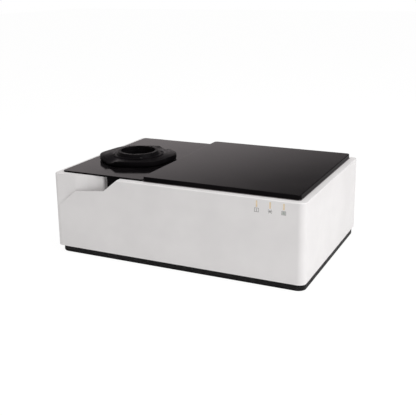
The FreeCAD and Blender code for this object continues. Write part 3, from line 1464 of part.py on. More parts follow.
wheel_motor_x = wheel_x - wheel_gap - wheel_motor_length
wheel_motor_can = cylinder("wheel_motor_can", (wheel_motor_x, wheel_y, beam_height), wheel_motor_radius,
                           wheel_motor_length, "X")
wheel_motor_foot = box("wheel_motor_foot", (wheel_motor_x, wheel_y - wheel_motor_radius, bench_floor),
                       wheel_motor_length / 2, 2 * wheel_motor_radius, beam_height - bench_floor)
wheel_motor_bore = cylinder("wheel_motor_bore", (wheel_x - wheel_shaft_length - 1, wheel_y, beam_height),
                            wheel_shaft_radius + 0.3, wheel_shaft_length + 2, "X")
keep(cut("filter_motor", fuse("wheel_motor_solid", [wheel_motor_can, wheel_motor_foot]),
         [wheel_motor_bore]), "filter_motor")

# Lamp in a finned housing

lamp_x = wheel_motor_x - 4
house_half = lamp_house_size / 2
house_block = box("house_block", (lamp_x - lamp_house_size, entrance_slit_y - house_half, bench_floor),
                  lamp_house_size, lamp_house_size, beam_height - bench_floor + house_half)
house_cavity = cylinder("house_cavity", (lamp_x - lamp_house_size + 6, entrance_slit_y, beam_height),
                        reflector_radius + 0.3, lamp_house_size, "X")
house_socket = cylinder("house_socket", (lamp_x - lamp_house_size - 1, entrance_slit_y, beam_height),
                        bulb_radius - reflector_wall - 0.3, 8, "X")
fin_gaps = [
    box(f"fin_gap_{i + 1}", (lamp_x - lamp_house_size - 1, entrance_slit_y - house_half - 1,
                             bench_floor + 4 + i * lamp_fin_pitch),
        lamp_house_size + 2, lamp_fin_depth - 2.5, lamp_fin_pitch - lamp_fin)
    for i in range(int((beam_height + house_half - bench_floor).value / lamp_fin_pitch.value) - 1)
]
keep(cut("lamp_housing", house_block, [house_cavity, house_socket] + fin_gaps), "lamp_housing")

reflector_back = lamp_x - lamp_house_size + 6
cup_profile = Part.BSplineCurve()
cup_points = [Vector(k * reflector_depth.value / 4, 0,
                     bulb_radius.value + (reflector_radius.value - bulb_radius.value) * math.sqrt(k / 4))
              for k in range(5)]
cup_profile.interpolate(cup_points)
rim_in, rim_out = cup_points[-1], cup_points[-1] + Vector(0, 0, -reflector_wall.value)
inner_profile = Part.BSplineCurve()
inner_profile.interpolate([p + Vector(reflector_wall.value * (1 - i / 4), 0, -reflector_wall.value)
                           for i, p in enumerate(cup_points)][::-1])
inner_points = [inner_profile.StartPoint, inner_profile.EndPoint]
bowl_face = Part.Face(Part.Wire([
    cup_profile.toShape(),
    Part.LineSegment(cup_points[-1], inner_points[0]).toShape(),
    inner_profile.toShape(),
    Part.LineSegment(inner_points[1], cup_points[0]).toShape(),
]))
bowl = bowl_face.revolve(Vector(), Vector(1, 0, 0), 360)
keep(shape_feature("lamp_reflector", bowl, (reflector_back, entrance_slit_y, beam_height)),
     "lamp_reflector")

bulb_glass = cylinder("bulb_glass", (reflector_back - 2, entrance_slit_y, beam_height),
                      bulb_radius - reflector_wall - 0.3, bulb_length, "X")
bulb_base = cylinder("bulb_base", (reflector_back - 6, entrance_slit_y, beam_height),
                     bulb_radius - reflector_wall - 0.3, 5, "X")
bulb_tip = doc.addObject("Part::Sphere", "bulb_tip")
bind(bulb_tip, "Radius", bulb_radius - reflector_wall - 0.3)
place(bulb_tip, (reflector_back - 2 + bulb_length, entrance_slit_y, beam_height))
keep(fuse("halogen_lamp", [bulb_glass, bulb_base, bulb_tip]), "halogen_lamp")

# Grating on its shaft and motor

holder_bottom = beam_height - grating_size / 2 - holder_wall
holder_block = centred_box("holder_block", (0, 0, holder_bottom),
                           grating_thickness + 2 * holder_wall, grating_size + 2 * holder_wall,
                           grating_size + 2 * holder_wall)
holder_seat = box("holder_seat", (-(grating_thickness / 2 + holder_wall) - 1, -grating_size / 2,
                                  beam_height - grating_size / 2),
                  grating_thickness + 1, grating_size, grating_size)
holder_shaft = cylinder("holder_shaft", (0, 0, bench_z),
                        grating_shaft_radius, holder_bottom - bench_z + 1)
holder = cut("grating_holder", fuse("holder_solid", [holder_block, holder_shaft]), [holder_seat])
place(holder, (grating_x, grating_y, 0))
keep(holder, "grating_holder")

blank = box("grating_blank", (-(grating_thickness / 2 + holder_wall), -grating_size / 2,
                              beam_height - grating_size / 2),
            grating_thickness, grating_size, grating_size)
concave = doc.addObject("Part::Sphere", "grating_concave")
bind(concave, "Radius", grating_focus)
place(concave, (-grating_focus - grating_thickness / 2 - holder_wall + 1, 0, beam_height))
grating = cut("diffraction_grating", blank, [concave])
place(grating, (grating_x, grating_y, 0))
keep(grating, "diffraction_grating")

grating_can = cylinder("grating_can", (grating_x, grating_y, bench_floor), grating_motor_radius,
                       holder_bottom - bench_floor - 2)
grating_can_bore = cylinder("grating_can_bore", (grating_x, grating_y, bench_floor - 1),
                            grating_shaft_radius + 0.3, holder_bottom - bench_floor + 2)
keep(cut("grating_motor", grating_can, [grating_can_bore]), "grating_motor")

paddle_shaft_sink = size("paddle_shaft_sink", 14)

# Measurement head below the stage: fold mirror, detectors, reference paddle and window

head_top = deck - window_gap
paddle_z = liner_floor_height - 5 - paddle_thickness
head_wall = cylinder("head_wall", (stage_x, stage_y, bench_floor), head_radius, head_top - bench_floor)
head_hollow = cylinder("head_hollow", (stage_x, stage_y, bench_floor + 4), head_bore,
                       head_top - head_top_thickness - bench_floor - 4)
window_seat = cylinder("window_seat", (stage_x, stage_y, head_top - window_thickness), window_radius,
                       window_thickness + 1)
window_hole = cylinder("window_hole", (stage_x, stage_y, head_top - head_top_thickness - 1),
                       window_radius - 3, head_top_thickness + 2)
beam_port = cylinder("beam_port", (stage_x, stage_y, beam_height), 12, head_radius + 4, "X")
slot_middle = paddle_z + paddle_thickness / 2
head_slot = box("head_slot", (stage_x - head_radius - 1, stage_y - head_bore + 3,
                              slot_middle - paddle_slot / 2),
                2 * head_radius + 2, 2 * head_radius, paddle_slot)
detector_z = head_top - 28
detector_ring = head_radius - 6
detector_spots = [
    (math.cos(math.radians(45 + 90 * i)), math.sin(math.radians(45 + 90 * i)), 45 + 90 * i)
    for i in range(4)
]


def detector(name, cx, cy, angle):
    """Can pushed into the head's wall, tilted up at the window."""
    can = cylinder(name, (stage_x + detector_ring * cx, stage_y + detector_ring * cy, detector_z),
                   detector_radius, detector_length)
    tilt = Rotation(Vector(0, 0, 1), angle) * Rotation(Vector(0, 1, 0), 125)
    can.Placement = Placement(can.Placement.Base, tilt)
    return can


detector_holes = [detector(f"detector_hole_{i + 1}", *spot) for i, spot in enumerate(detector_spots)]
keep(cut("measurement_head", head_wall,
         [head_hollow, window_seat, window_hole, beam_port, head_slot] + detector_holes),
     "measurement_head")
keep(copies("detectors", detector, detector_spots), "detectors")
keep(cylinder("measurement_window", (stage_x, stage_y, head_top - window_thickness), window_radius,
              window_thickness), "measurement_window")

mirror_drop = mirror_thickness * math.sqrt(2)
wedge = new_body("mirror_wedge")
wedge_sketch = sketch_on(wedge, "wedge_sketch", "XZ_Plane", offset=-(stage_y - head_bore))
draw_outline(wedge_sketch, [
    (stage_x - head_bore, bench_floor + 4),
    (stage_x + head_bore, bench_floor + 4),
    (stage_x + head_bore, beam_height - head_bore - mirror_drop),
    (stage_x - head_bore, beam_height + head_bore - mirror_drop),
])
pad(wedge, "wedge_pad", wedge_sketch, 2 * head_bore, backwards=True)
wedge_round = cylinder("wedge_round", (stage_x, stage_y, bench_floor), head_bore - 0.3, 100.0)
keep(common("mirror_block", [wedge, wedge_round]), "mirror_block")
mirror = cylinder("fold_mirror", (stage_x - mirror_thickness / math.sqrt(2), stage_y,
                                  beam_height - mirror_thickness / math.sqrt(2)),
                  mirror_radius, mirror_thickness)
mirror.Placement = Placement(mirror.Placement.Base, Rotation(Vector(0, 1, 0), 45))
keep(mirror, "fold_mirror")

# Reference paddle: swings a white tile into the head's slot

pivot_y = stage_y + paddle_reach
paddle_disc = cylinder("paddle_disc", (0, -paddle_reach, 0), paddle_radius, paddle_thickness)
paddle_arm = box("paddle_arm", (-paddle_radius / 3, -paddle_reach, 0), paddle_radius * 2 / 3,
                 paddle_reach, paddle_thickness)
paddle_hub = cylinder("paddle_hub", (0, 0, 0), paddle_radius / 2, paddle_thickness)
paddle_shaft = cylinder("paddle_shaft", (0, 0, -paddle_shaft_sink), paddle_shaft_radius,
                        paddle_shaft_sink + paddle_thickness)
tile_seat = cylinder("tile_seat", (0, -paddle_reach, paddle_thickness / 2), paddle_radius - 3,
                     paddle_thickness)
paddle = cut("reference_paddle", fuse("paddle_solid", [paddle_disc, paddle_arm, paddle_hub, paddle_shaft]),
             [tile_seat])
tile = cylinder("tile_disc", (0, -paddle_reach, paddle_thickness / 2), paddle_radius - 3,
                paddle_thickness / 2)
tile_group = doc.addObject("Part::Compound", "reference_tile")
tile_group.Links = [tile]
for item, label in ((paddle, "reference_paddle"), (tile_group, "reference_tile")):
    place(item, (stage_x, pivot_y, paddle_z))
    item.setExpression("Placement.Rotation.Angle", paddle_park.text)
    keep(item, label)
paddle_can = cylinder("paddle_can", (stage_x, pivot_y, bench_floor), paddle_motor_radius,
                      paddle_z - 2 - bench_floor)
paddle_bore = cylinder("paddle_bore", (stage_x, pivot_y, paddle_z - paddle_shaft_sink - 1),
                       paddle_shaft_radius + 0.3, paddle_shaft_sink + 2)
keep(cut("paddle_drive", paddle_can, [paddle_bore]), "paddle_drive")

# Check every object and write each sub-part

doc.recompute()
for item in doc.Objects:
    if "Invalid" in item.State or "Error" in item.State:
        raise RuntimeError(f"{item.Label} did not build: {item.State}")
os.makedirs("parts", exist_ok=True)
for item in sub_parts:
    if item.Shape.isNull() or not item.Shape.isValid():
        raise RuntimeError(f"{item.Label} has no valid shape")
    item.Shape.exportStep(f"parts/{item.Label}.step")
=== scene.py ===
import json
import math

import bpy
from mathutils import Matrix, Vector


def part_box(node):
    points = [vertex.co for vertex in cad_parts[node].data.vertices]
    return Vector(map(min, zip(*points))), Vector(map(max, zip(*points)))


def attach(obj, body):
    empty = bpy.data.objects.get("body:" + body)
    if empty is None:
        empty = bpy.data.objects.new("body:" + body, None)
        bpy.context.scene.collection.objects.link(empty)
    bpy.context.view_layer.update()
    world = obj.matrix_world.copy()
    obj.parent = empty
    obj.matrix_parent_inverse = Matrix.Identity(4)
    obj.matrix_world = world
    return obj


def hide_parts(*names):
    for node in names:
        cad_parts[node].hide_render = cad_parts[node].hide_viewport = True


# Near-infrared spectrometer: finishes, small parts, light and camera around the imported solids.
# Lengths are in millimetres, those of the camera, the lights and the floor in metres.

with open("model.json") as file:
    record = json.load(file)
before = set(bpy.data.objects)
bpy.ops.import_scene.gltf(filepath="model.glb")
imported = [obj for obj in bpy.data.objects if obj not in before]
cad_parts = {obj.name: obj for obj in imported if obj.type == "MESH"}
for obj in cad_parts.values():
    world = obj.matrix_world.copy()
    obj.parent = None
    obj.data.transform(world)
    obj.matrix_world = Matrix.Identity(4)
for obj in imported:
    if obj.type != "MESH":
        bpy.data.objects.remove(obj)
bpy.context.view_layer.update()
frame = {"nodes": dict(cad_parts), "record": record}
record = frame["record"]
nodes = frame["nodes"]
MM = 0.001

scene = bpy.context.scene
scene.view_settings.view_transform = "Standard"
bpy.ops.object.select_all(action="DESELECT")

# Camera, at the photograph's viewing angle

CAMERA_PLACE = (0.6309, -1.3464, 0.5519)
CAMERA_YAW, CAMERA_PITCH, CAMERA_ROLL = -0.4414, -0.2557, -0.0109
SENSOR_WIDTH, FOCAL_LENGTH, SHIFT_UP = 36, 62.73, -0.0962
NEAREST, FARTHEST = 0.05, 40


def bench_camera():
    data = bpy.data.cameras.new("bench_camera")
    data.sensor_width = SENSOR_WIDTH
    data.lens = FOCAL_LENGTH
    data.shift_y = SHIFT_UP
    data.clip_start, data.clip_end = NEAREST, FARTHEST
    camera = bpy.data.objects.new("bench_camera", data)
    scene.collection.objects.link(camera)
    scene.camera = camera
    return camera


def aim(camera, place, yaw, pitch, roll):
    """Look along yaw from +Y and pitch from level, turned about the line of sight by roll."""
    ahead = Vector((math.sin(yaw) * math.cos(pitch), math.cos(yaw) * math.cos(pitch), math.sin(pitch)))
    right = ahead.cross(Vector((0, 0, 1))).normalized()
    up = right.cross(ahead)
    turn = camera.rotation_euler.to_matrix()
    turn.col[0] = right * math.cos(roll) + up * math.sin(roll)
    turn.col[1] = up * math.cos(roll) - right * math.sin(roll)
    turn.col[2] = -ahead
    camera.location = place
    camera.rotation_euler = turn.to_euler()


aim(bench_camera(), CAMERA_PLACE, CAMERA_YAW, CAMERA_PITCH, CAMERA_ROLL)

# Shader nodes


def add_node(tree, kind, **values):
    node = tree.nodes.new("ShaderNode" + kind)
    for name, value in values.items():
        setattr(node, name, value)
    return node


def link(tree, source, socket, target, name):
    tree.links.new(source.outputs[socket], target.inputs[name])


def set_range(node, start, end, low, high):
    """Turn values from start to end into values from low to high."""
    for name, value in zip(("From Min", "From Max", "To Min", "To Max"), (start, end, low, high)):
        node.inputs[name].default_value = value


def mixed(tree, share, socket, first, second):
    """Shader between first and second, by the share that a value gives to second."""
    node = add_node(tree, "MixShader")
    link(tree, share, socket, node, "Fac")
    link(tree, first, 0, node, 1)
    link(tree, second, 0, node, 2)
    return node


# Light: white surroundings, soft fill all round, soft boxes at the right and above

FILL_COLOUR, FILL_STRENGTH = (1.0, 0.985, 0.97), 0.46
# What shiny faces mirror: a bright wall behind on the left, dark above its soft slanting edge, and a
# pale ceiling. Each has its direction, where its glow starts and ends along it, and the strengths there.
MIRRORED_COLOUR = (0.86, 0.79, 0.80)
WALL_SIDE, WALL_GLOW = (-0.345, 0.117, -0.969), (-0.08, 0.065, 0.05, 0.9)
CEILING_SIDE, CEILING_GLOW = (0, 0, 1), (0.4, 0.85, 0.0, 0.4)
# Name, place, point aimed at, side of the square and watts
SOFT_BOXES = [
    ("right_soft_box", (2.4, -0.5, 1.5), (0.1, 0, 0.1), 1.6, 32),
    ("top_soft_box", (0.3, -0.4, 2.4), (0, 0, 0.1), 1.8, 20),
]
FLOOR_SIZE, FLOOR_MIDDLE, FLOOR_SHADE = 16, (0, 3, 0), 0.9
# The camera sees the floor as this share of an even glow, which leaves only a faint shadow.
FLOOR_GLOW, FLOOR_GLOW_SHARE = 1.05, 0.9


def background(tree, colour, strength=1.0):
    node = add_node(tree, "Background")
    node.inputs["Color"].default_value = (*colour, 1)
    node.inputs["Strength"].default_value = strength
    return node


def glow_towards(tree, coordinates, side, limits):
    """Strength that changes as a ray turns towards a side."""
    turned = add_node(tree, "VectorMath", operation="DOT_PRODUCT")
    turned.inputs[1].default_value = side
    strength = add_node(tree, "MapRange", interpolation_type="SMOOTHSTEP")
    set_range(strength, *limits)
    link(tree, coordinates, "Generated", turned, 0)
    link(tree, turned, "Value", strength, "Value")
    return strength


def world_light():
    world = bpy.data.worlds.new("studio")
    scene.world = world
    world.use_nodes = True
    world.cycles.sampling_method = "NONE"
    tree = world.node_tree
    tree.nodes.clear()
    out = add_node(tree, "OutputWorld")
    rays = add_node(tree, "LightPath")
    coordinates = add_node(tree, "TexCoord")
    fill = background(tree, FILL_COLOUR, FILL_STRENGTH)
    seen = background(tree, (1, 1, 1))
    mirrored = background(tree, MIRRORED_COLOUR)
    both = add_node(tree, "Math", operation="ADD")
    link(tree, glow_towards(tree, coordinates, WALL_SIDE, WALL_GLOW), "Result", both, 0)
    link(tree, glow_towards(tree, coordinates, CEILING_SIDE, CEILING_GLOW), "Result", both, 1)
    link(tree, both, "Value", mirrored, "Strength")
    looked_at = add_node(tree, "Math", operation="MAXIMUM")
    link(tree, rays, "Is Camera Ray", looked_at, 0)
    link(tree, rays, "Is Transmission Ray", looked_at, 1)
    unseen = mixed(tree, rays, "Is Glossy Ray", fill, mirrored)
    link(tree, mixed(tree, looked_at, "Value", unseen, seen), "Shader", out, "Surface")


def soft_box(name, place, look_at, side, power):
    data = bpy.data.lights.new(name, "AREA")
    data.size = side
    data.energy = power
    lamp = bpy.data.objects.new(name, data)
    scene.collection.objects.link(lamp)
    lamp.location = place
    lamp.rotation_euler = (Vector(look_at) - Vector(place)).to_track_quat("-Z", "Y").to_euler()


def backdrop():
    bpy.ops.mesh.primitive_plane_add(size=FLOOR_SIZE, location=FLOOR_MIDDLE)
    floor = bpy.context.object
    floor.name = "bench_floor"
    bpy.ops.object.transform_apply(location=True, rotation=True, scale=True)
    material = bpy.data.materials.new("pale_floor")
    material.use_nodes = True
    tree = material.node_tree
    tree.nodes.clear()
    out = add_node(tree, "OutputMaterial")
    paper = add_node(tree, "BsdfDiffuse")
    paper.inputs["Color"].default_value = (FLOOR_SHADE, FLOOR_SHADE, FLOOR_SHADE, 1)
    glow = add_node(tree, "Emission")
    glow.inputs["Strength"].default_value = FLOOR_GLOW
    rays = add_node(tree, "LightPath")
    share = add_node(tree, "Math", operation="MULTIPLY")
    share.inputs[1].default_value = FLOOR_GLOW_SHARE
    link(tree, rays, "Is Camera Ray", share, 0)
    link(tree, mixed(tree, share, "Value", paper, glow), "Shader", out, "Surface")
    floor.data.materials.append(material)


world_light()
for box_values in SOFT_BOXES:
    soft_box(*box_values)
backdrop()

# Finishes


class Finish:
    """One material, built up from patterns on object coordinates."""

    def __init__(self, name, roughness=0.5, metallic=0.0, specular=0.5):
        self.material = bpy.data.materials.new(name)
        self.material.use_nodes = True
        self.tree = self.material.node_tree
        self.shader = self.tree.nodes["Principled BSDF"]
        self.put("Roughness", roughness)
        self.put("Metallic", metallic)
        self.put("Specular IOR Level", specular)
        self.coordinates = add_node(self.tree, "TexCoord")

    def put(self, name, value):
        self.shader.inputs[name].default_value = value
        return self

    def cloud(self, size_mm, detail, stretch=(1, 1, 1)):
        """Noise whose features are about size_mm across, stretched along an axis."""
        mapping = add_node(self.tree, "Mapping")
        mapping.inputs["Scale"].default_value = stretch
        noise = add_node(self.tree, "TexNoise")
        noise.inputs["Scale"].default_value = 1 / (size_mm * MM)
        noise.inputs["Detail"].default_value = detail
        link(self.tree, self.coordinates, "Object", mapping, "Vector")
        link(self.tree, mapping, "Vector", noise, "Vector")
        return noise

    def cells(self, size_mm, **values):
        voronoi = add_node(self.tree, "TexVoronoi", **values)
        voronoi.inputs["Scale"].default_value = 1 / (size_mm * MM)
        link(self.tree, self.coordinates, "Object", voronoi, "Vector")
        return voronoi

    def drive(self, name, pattern, socket, low, high, start=0.35, end=0.65):
        """Let a pattern move one of the shader's inputs between low and high."""
        span = add_node(self.tree, "MapRange")
        set_range(span, start, end, low, high)
        link(self.tree, pattern, socket, span, "Value")
        link(self.tree, span, "Result", self.shader, name)
        return self.put(name, (low + high) / 2)

    def tint(self, pattern, dark, light, socket="Fac", start=0.35, end=0.65):
        ramp = add_node(self.tree, "ValToRGB")
        for stop, place, colour in zip(ramp.color_ramp.elements, (start, end), (dark, light)):
            stop.position = place
            stop.color = (*colour, 1)
        link(self.tree, pattern, socket, ramp, "Fac")
        link(self.tree, ramp, "Color", self.shader, "Base Color")
        return self.put("Base Color", (*[(a + b) / 2 for a, b in zip(dark, light)], 1))

    def sheen(self, pattern, low, high):
        return self.drive("Roughness", pattern, "Fac", low, high)

    def sheen_by_slope(self, low, high, start, end):
        """Mirror less on upright faces than on level ones."""
        slope = add_node(self.tree, "SeparateXYZ")
        link(self.tree, self.coordinates, "Normal", slope, "Vector")
        return self.drive("Specular IOR Level", slope, "Z", low, high, start, end)

    def bumps(self, pattern, depth_mm, socket="Fac"):
        bump = add_node(self.tree, "Bump")
        bump.inputs["Distance"].default_value = depth_mm * MM
        bump.inputs["Strength"].default_value = 1.0
        link(self.tree, pattern, socket, bump, "Height")
        link(self.tree, bump, "Normal", self.shader, "Normal")
        return self


def clouded(name, tint=None, sheen=None, relief=None, **look):
    """Finish from noise.

    Each pattern starts with the size of its features and their detail. Then come the dark and the
    light colour for tint, the lowest and highest roughness for sheen, and the depth for relief.
    """
    finish = Finish(name, **look)
    if tint:
        finish.tint(finish.cloud(*tint[:2]), *tint[2:])
    if sheen:
        finish.sheen(finish.cloud(*sheen[:2]), *sheen[2:])
    if relief:
        finish.bumps(finish.cloud(*relief[:2]), *relief[2:])
    return finish


def moulded_black(name, rough):
    return clouded(name, tint=(30, 3, (0.006, 0.0055, 0.006), (0.011, 0.010, 0.0105)),
                   sheen=(6, 3, rough - 0.05, rough + 0.07), relief=(0.7, 2, 0.015), specular=0.2)


SCRATCH_SIZE, SCRATCH_DETAIL, SCRATCH_SHADE = 2.5, 4, 0.86


def brushed(name, colour, rough, along):
    """Metal with fine scratches along one axis, shared by tint, sheen and relief."""
    finish = Finish(name, metallic=1.0)
    grain = finish.cloud(SCRATCH_SIZE, SCRATCH_DETAIL, along)
    finish.tint(grain, [SCRATCH_SHADE * c for c in colour], colour)
    finish.sheen(grain, rough - 0.07, rough + 0.1)
    return finish.bumps(grain, 0.006)


def amber_lens():
    finish = clouded("amber_lens", tint=(5, 2, (0.76, 0.62, 0.41), (0.83, 0.71, 0.52)), roughness=0.22)
    finish.bumps(finish.cells(1.2), 0.02, "Distance")
    finish.put("Emission Color", (1.0, 0.50, 0.12, 1))
    return finish.put("Emission Strength", 0.06)


def solder_mask():
    finish = clouded("solder_mask", sheen=(8, 3, 0.25, 0.4))
    tracks = finish.cells(3.2, distance="CHEBYCHEV")
    finish.tint(tracks, (0.035, 0.22, 0.10), (0.015, 0.12, 0.05), "Distance", 0.28, 0.34)
    return finish.bumps(tracks, 0.02, "Distance")


def clear_glass():
    finish = clouded("clear_glass", sheen=(14, 3, 0.005, 0.04))
    finish.put("Base Color", (0.97, 0.99, 0.985, 1))
    finish.put("Transmission Weight", 1.0)
    return finish.put("IOR", 1.5)


def ink(name, dark, light):
    return clouded(name, tint=(1.2, 2, dark, light), sheen=(2, 2, 0.5, 0.62), specular=0.3)


white = clouded("moulded_white", tint=(60, 2, (0.82, 0.805, 0.808), (0.855, 0.84, 0.842)),
                sheen=(9, 3, 0.38, 0.47), relief=(0.9, 2, 0.012), specular=0.4)
stage_black = clouded("stage_plastic", tint=(24, 3, (0.004, 0.0035, 0.004), (0.008, 0.007, 0.008)),
                      sheen=(5, 3, 0.28, 0.42), relief=(0.8, 2, 0.02))
stage_black.sheen_by_slope(0.02, 0.042, 0.2, 0.9)
gloss = clouded("gloss_black_sheet", tint=(80, 2, (0.004, 0.0035, 0.004), (0.007, 0.006, 0.0065)),
                sheen=(45, 3, 0.115, 0.135), relief=(18, 1, 0.0008))
gloss.sheen_by_slope(0.015, 0.12, 0.2, 0.8)
black = moulded_black("moulded_black", 0.42)
base_black = moulded_black("base_black", 0.5)
foot_rubber = clouded("foot_rubber", tint=(4, 4, (0.015, 0.015, 0.015), (0.032, 0.031, 0.030)),
                      relief=(0.6, 3, 0.03), roughness=0.8, specular=0.3)
zinc = brushed("zinc_plate", (0.62, 0.63, 0.64), 0.34, (1, 1, 25))
aluminium = brushed("milled_aluminium", (0.74, 0.75, 0.76), 0.3, (25, 1, 1))
dark_metal = clouded("anodised_black", tint=(12, 4, (0.018, 0.018, 0.020), (0.030, 0.030, 0.032)),
                     sheen=(3, 3, 0.30, 0.44), relief=(0.35, 2, 0.008))
amber = amber_lens()
mirror = clouded("mirror_coat", tint=(20, 2, (0.90, 0.91, 0.93), (0.95, 0.95, 0.95)),
                 sheen=(10, 3, 0.02, 0.06), metallic=1.0)
gold = clouded("gold_plate", tint=(3, 3, (0.70, 0.50, 0.20), (0.84, 0.65, 0.32)),
               sheen=(2, 3, 0.2, 0.35), metallic=1.0)
ceramic = clouded("white_ceramic", tint=(1.5, 3, (0.86, 0.86, 0.84), (0.93, 0.93, 0.91)),
                  relief=(0.5, 3, 0.02), roughness=0.7, specular=0.3)
nylon = clouded("natural_nylon", tint=(15, 3, (0.67, 0.64, 0.55), (0.76, 0.73, 0.65)),
                sheen=(4, 3, 0.4, 0.52), relief=(0.8, 2, 0.015), specular=0.4)
mark_grey = ink("mark_grey", (0.27, 0.27, 0.27), (0.37, 0.37, 0.36))
mark_green = ink("mark_green", (0.40, 0.44, 0.41), (0.50, 0.54, 0.51))
# the seal's light grey-pink is partly a painted highlight of the lid's lower edge
seal_and_painted_highlight_grey = ink("seal_and_painted_highlight_grey", (0.16, 0.145, 0.15), (0.24, 0.22, 0.225))

finish_of = {
    "casing_white": white, "satin_black": black, "gloss_black": gloss, "rubber_black": foot_rubber,
    "zinc_steel": zinc, "aluminium": aluminium, "black_metal": dark_metal, "amber_light": amber,
    "circuit_board": solder_mask(), "clear_glass": clear_glass(), "mirror_coat": mirror, "gold_contact": gold,
    "white_ceramic": ceramic, "gear_plastic": nylon,
}


def coat(piece, finish):
    piece.data.materials.clear()
    piece.data.materials.append(finish.material)


for subpart in record["subparts"]:
    coat(nodes[subpart["node"]], finish_of[subpart["material_slot"]])
coat(nodes["base_tray"], base_black)

# Modelling steps: each small part starts from a primitive and is shaped in edit mode

UP, DOWN, REARWARD = (0, 0, 1), (0, 0, -1), (0, 1, 0)
UPRIGHT, ALONG_X, ALONG_Y = (0, 0, 0), (0, 90, 0), (-90, 0, 0)
SHARP, FLAT = math.radians(40), math.radians(35)
# How far a cutter reaches past what it cuts
THROUGH = 10
# A screw's socket and edge, as shares of its head's radius, height and radius
SOCKET_BORDER, SOCKET_DEPTH, SCREW_EDGE = 0.48, 0.55, 0.09


def corners(node):
    """Lowest and highest corner of a node's box, in millimetres."""
    return [[c / MM for c in corner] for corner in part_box(node)]


def add_piece(name, add, middle, turn=UPRIGHT, **shape):
    """New primitive, turned by degrees, with its place put into its mesh."""
    bpy.ops.object.select_all(action="DESELECT")
    add(location=[c * MM for c in middle], rotation=[math.radians(angle) for angle in turn], **shape)
    piece = bpy.context.object
    piece.name = name
    bpy.ops.object.transform_apply(location=True, rotation=True, scale=True)
    return piece


def slab(name, middle, sizes, turn=UPRIGHT):
    return add_piece(name, bpy.ops.mesh.primitive_cube_add, middle, turn, size=1,
                     scale=[size * MM for size in sizes])


def block(name, low, high):
    return slab(name, [(a + b) / 2 for a, b in zip(low, high)], [b - a for a, b in zip(low, high)])


def rod(name, middle, radius, length, turn=UPRIGHT, sides=32):
    return add_piece(name, bpy.ops.mesh.primitive_cylinder_add, middle, turn, vertices=sides,
                     radius=radius * MM, depth=length * MM)


def edit(piece, kind, chosen):
    """Open the piece in edit mode with the faces or edges that the test picks."""
    bpy.context.view_layer.objects.active = piece
    bpy.ops.object.mode_set(mode="EDIT")
    bpy.ops.mesh.select_mode(type=kind)
    bpy.ops.mesh.select_all(action="DESELECT")
    bpy.ops.object.mode_set(mode="OBJECT")
    for part in piece.data.polygons if kind == "FACE" else piece.data.edges:
        part.select = chosen(part)
    bpy.ops.object.mode_set(mode="EDIT")


def close_edit():
    bpy.ops.object.mode_set(mode="OBJECT")


def facing(direction):
    """Test for faces whose normal points along direction."""
    return lambda face: face.normal.dot(Vector(direction)) > 0.99


def sink(piece, direction, border, depth):
    """Inset the faces that look along direction and push them in, or out where depth is negative."""
    edit(piece, "FACE", facing(direction))
    bpy.ops.mesh.inset(thickness=border * MM, depth=0)
    bpy.ops.mesh.extrude_region_move(
        TRANSFORM_OT_translate={"value": [-depth * MM * c for c in direction]})
    close_edit()


def pick(piece):
    bpy.ops.object.select_all(action="DESELECT")
    piece.select_set(True)
    bpy.context.view_layer.objects.active = piece


def soften(piece, width, segments=2):
    """Round all sharp edges and smooth the shading."""
    pick(piece)
    rounding = piece.modifiers.new("edges", "BEVEL")
    rounding.width = width * MM
    rounding.segments = segments
    rounding.limit_method = "ANGLE"
    rounding.angle_limit = SHARP
    bpy.ops.object.modifier_apply(modifier="edges")
    bpy.ops.object.shade_smooth_by_angle(angle=FLAT)
    return piece


def cut_away(piece, *cutters):
    """Take the cutters' shapes out of the piece."""
    for cutter in cutters:
        pick(piece)
        hollow = piece.modifiers.new("hollow", "BOOLEAN")
        hollow.operation = "DIFFERENCE"
        hollow.object = cutter
        bpy.ops.object.modifier_apply(modifier="hollow")
        bpy.data.objects.remove(cutter)


def round_uprights(piece, radius, segments=8):
    """Round the upright edges of a piece."""
    places = piece.data.vertices

    def upright(edge):
        run = places[edge.vertices[0]].co - places[edge.vertices[1]].co
        return abs(run.z) > 0.9 * run.length

    edit(piece, "EDGE", upright)
    bpy.ops.mesh.bevel(offset=radius * MM, segments=segments, affect="EDGES")
    close_edit()
    return piece


def band(name, low, high, rounding, room_low, room_high, room_rounding):
    """Block with round uprights, open from below to above between the room's corners."""
    outside = round_uprights(block(name, low, high), rounding)
    room = block("room", (*room_low[:2], low[2] - THROUGH), (*room_high[:2], high[2] + THROUGH))
    cut_away(outside, round_uprights(room, room_rounding))
    return outside


def ring(name, middle, outer, inner, height, sides):
    """Flat ring, bored by deleting the inset ends and bridging the two rims."""
    piece = rod(name, middle, outer, height, sides=sides)
    edit(piece, "FACE", lambda face: abs(face.normal.z) > 0.99)
    bpy.ops.mesh.inset(thickness=(outer - inner) * MM, depth=0)
    bpy.ops.mesh.delete(type="FACE")
    bpy.ops.mesh.select_mode(type="EDGE")
    bpy.ops.mesh.select_all(action="DESELECT")
    bpy.ops.mesh.select_non_manifold(extend=False)
    bpy.ops.mesh.bridge_edge_loops()
    bpy.ops.mesh.select_all(action="SELECT")
    bpy.ops.mesh.normals_make_consistent(inside=False)
    close_edit()
    return piece


def repeat(piece, name, places):
    """The piece and copies of it with their own meshes, shifted from the first place to the others."""
    group = [piece]
    piece.name = name + "_1"
    for number, place in enumerate(places[1:], 2):
        twin = piece.copy()
        twin.data = piece.data.copy()
        twin.name = f"{name}_{number}"
        scene.collection.objects.link(twin)
        twin.data.transform(Matrix.Translation((Vector(place) - Vector(places[0])) * MM))
        group.append(twin)
    return group


def row(piece, name, count, step):
    """The piece and copies of it in a line, each a step on."""
    return repeat(piece, name, [[c * i for c in step] for i in range(count)])


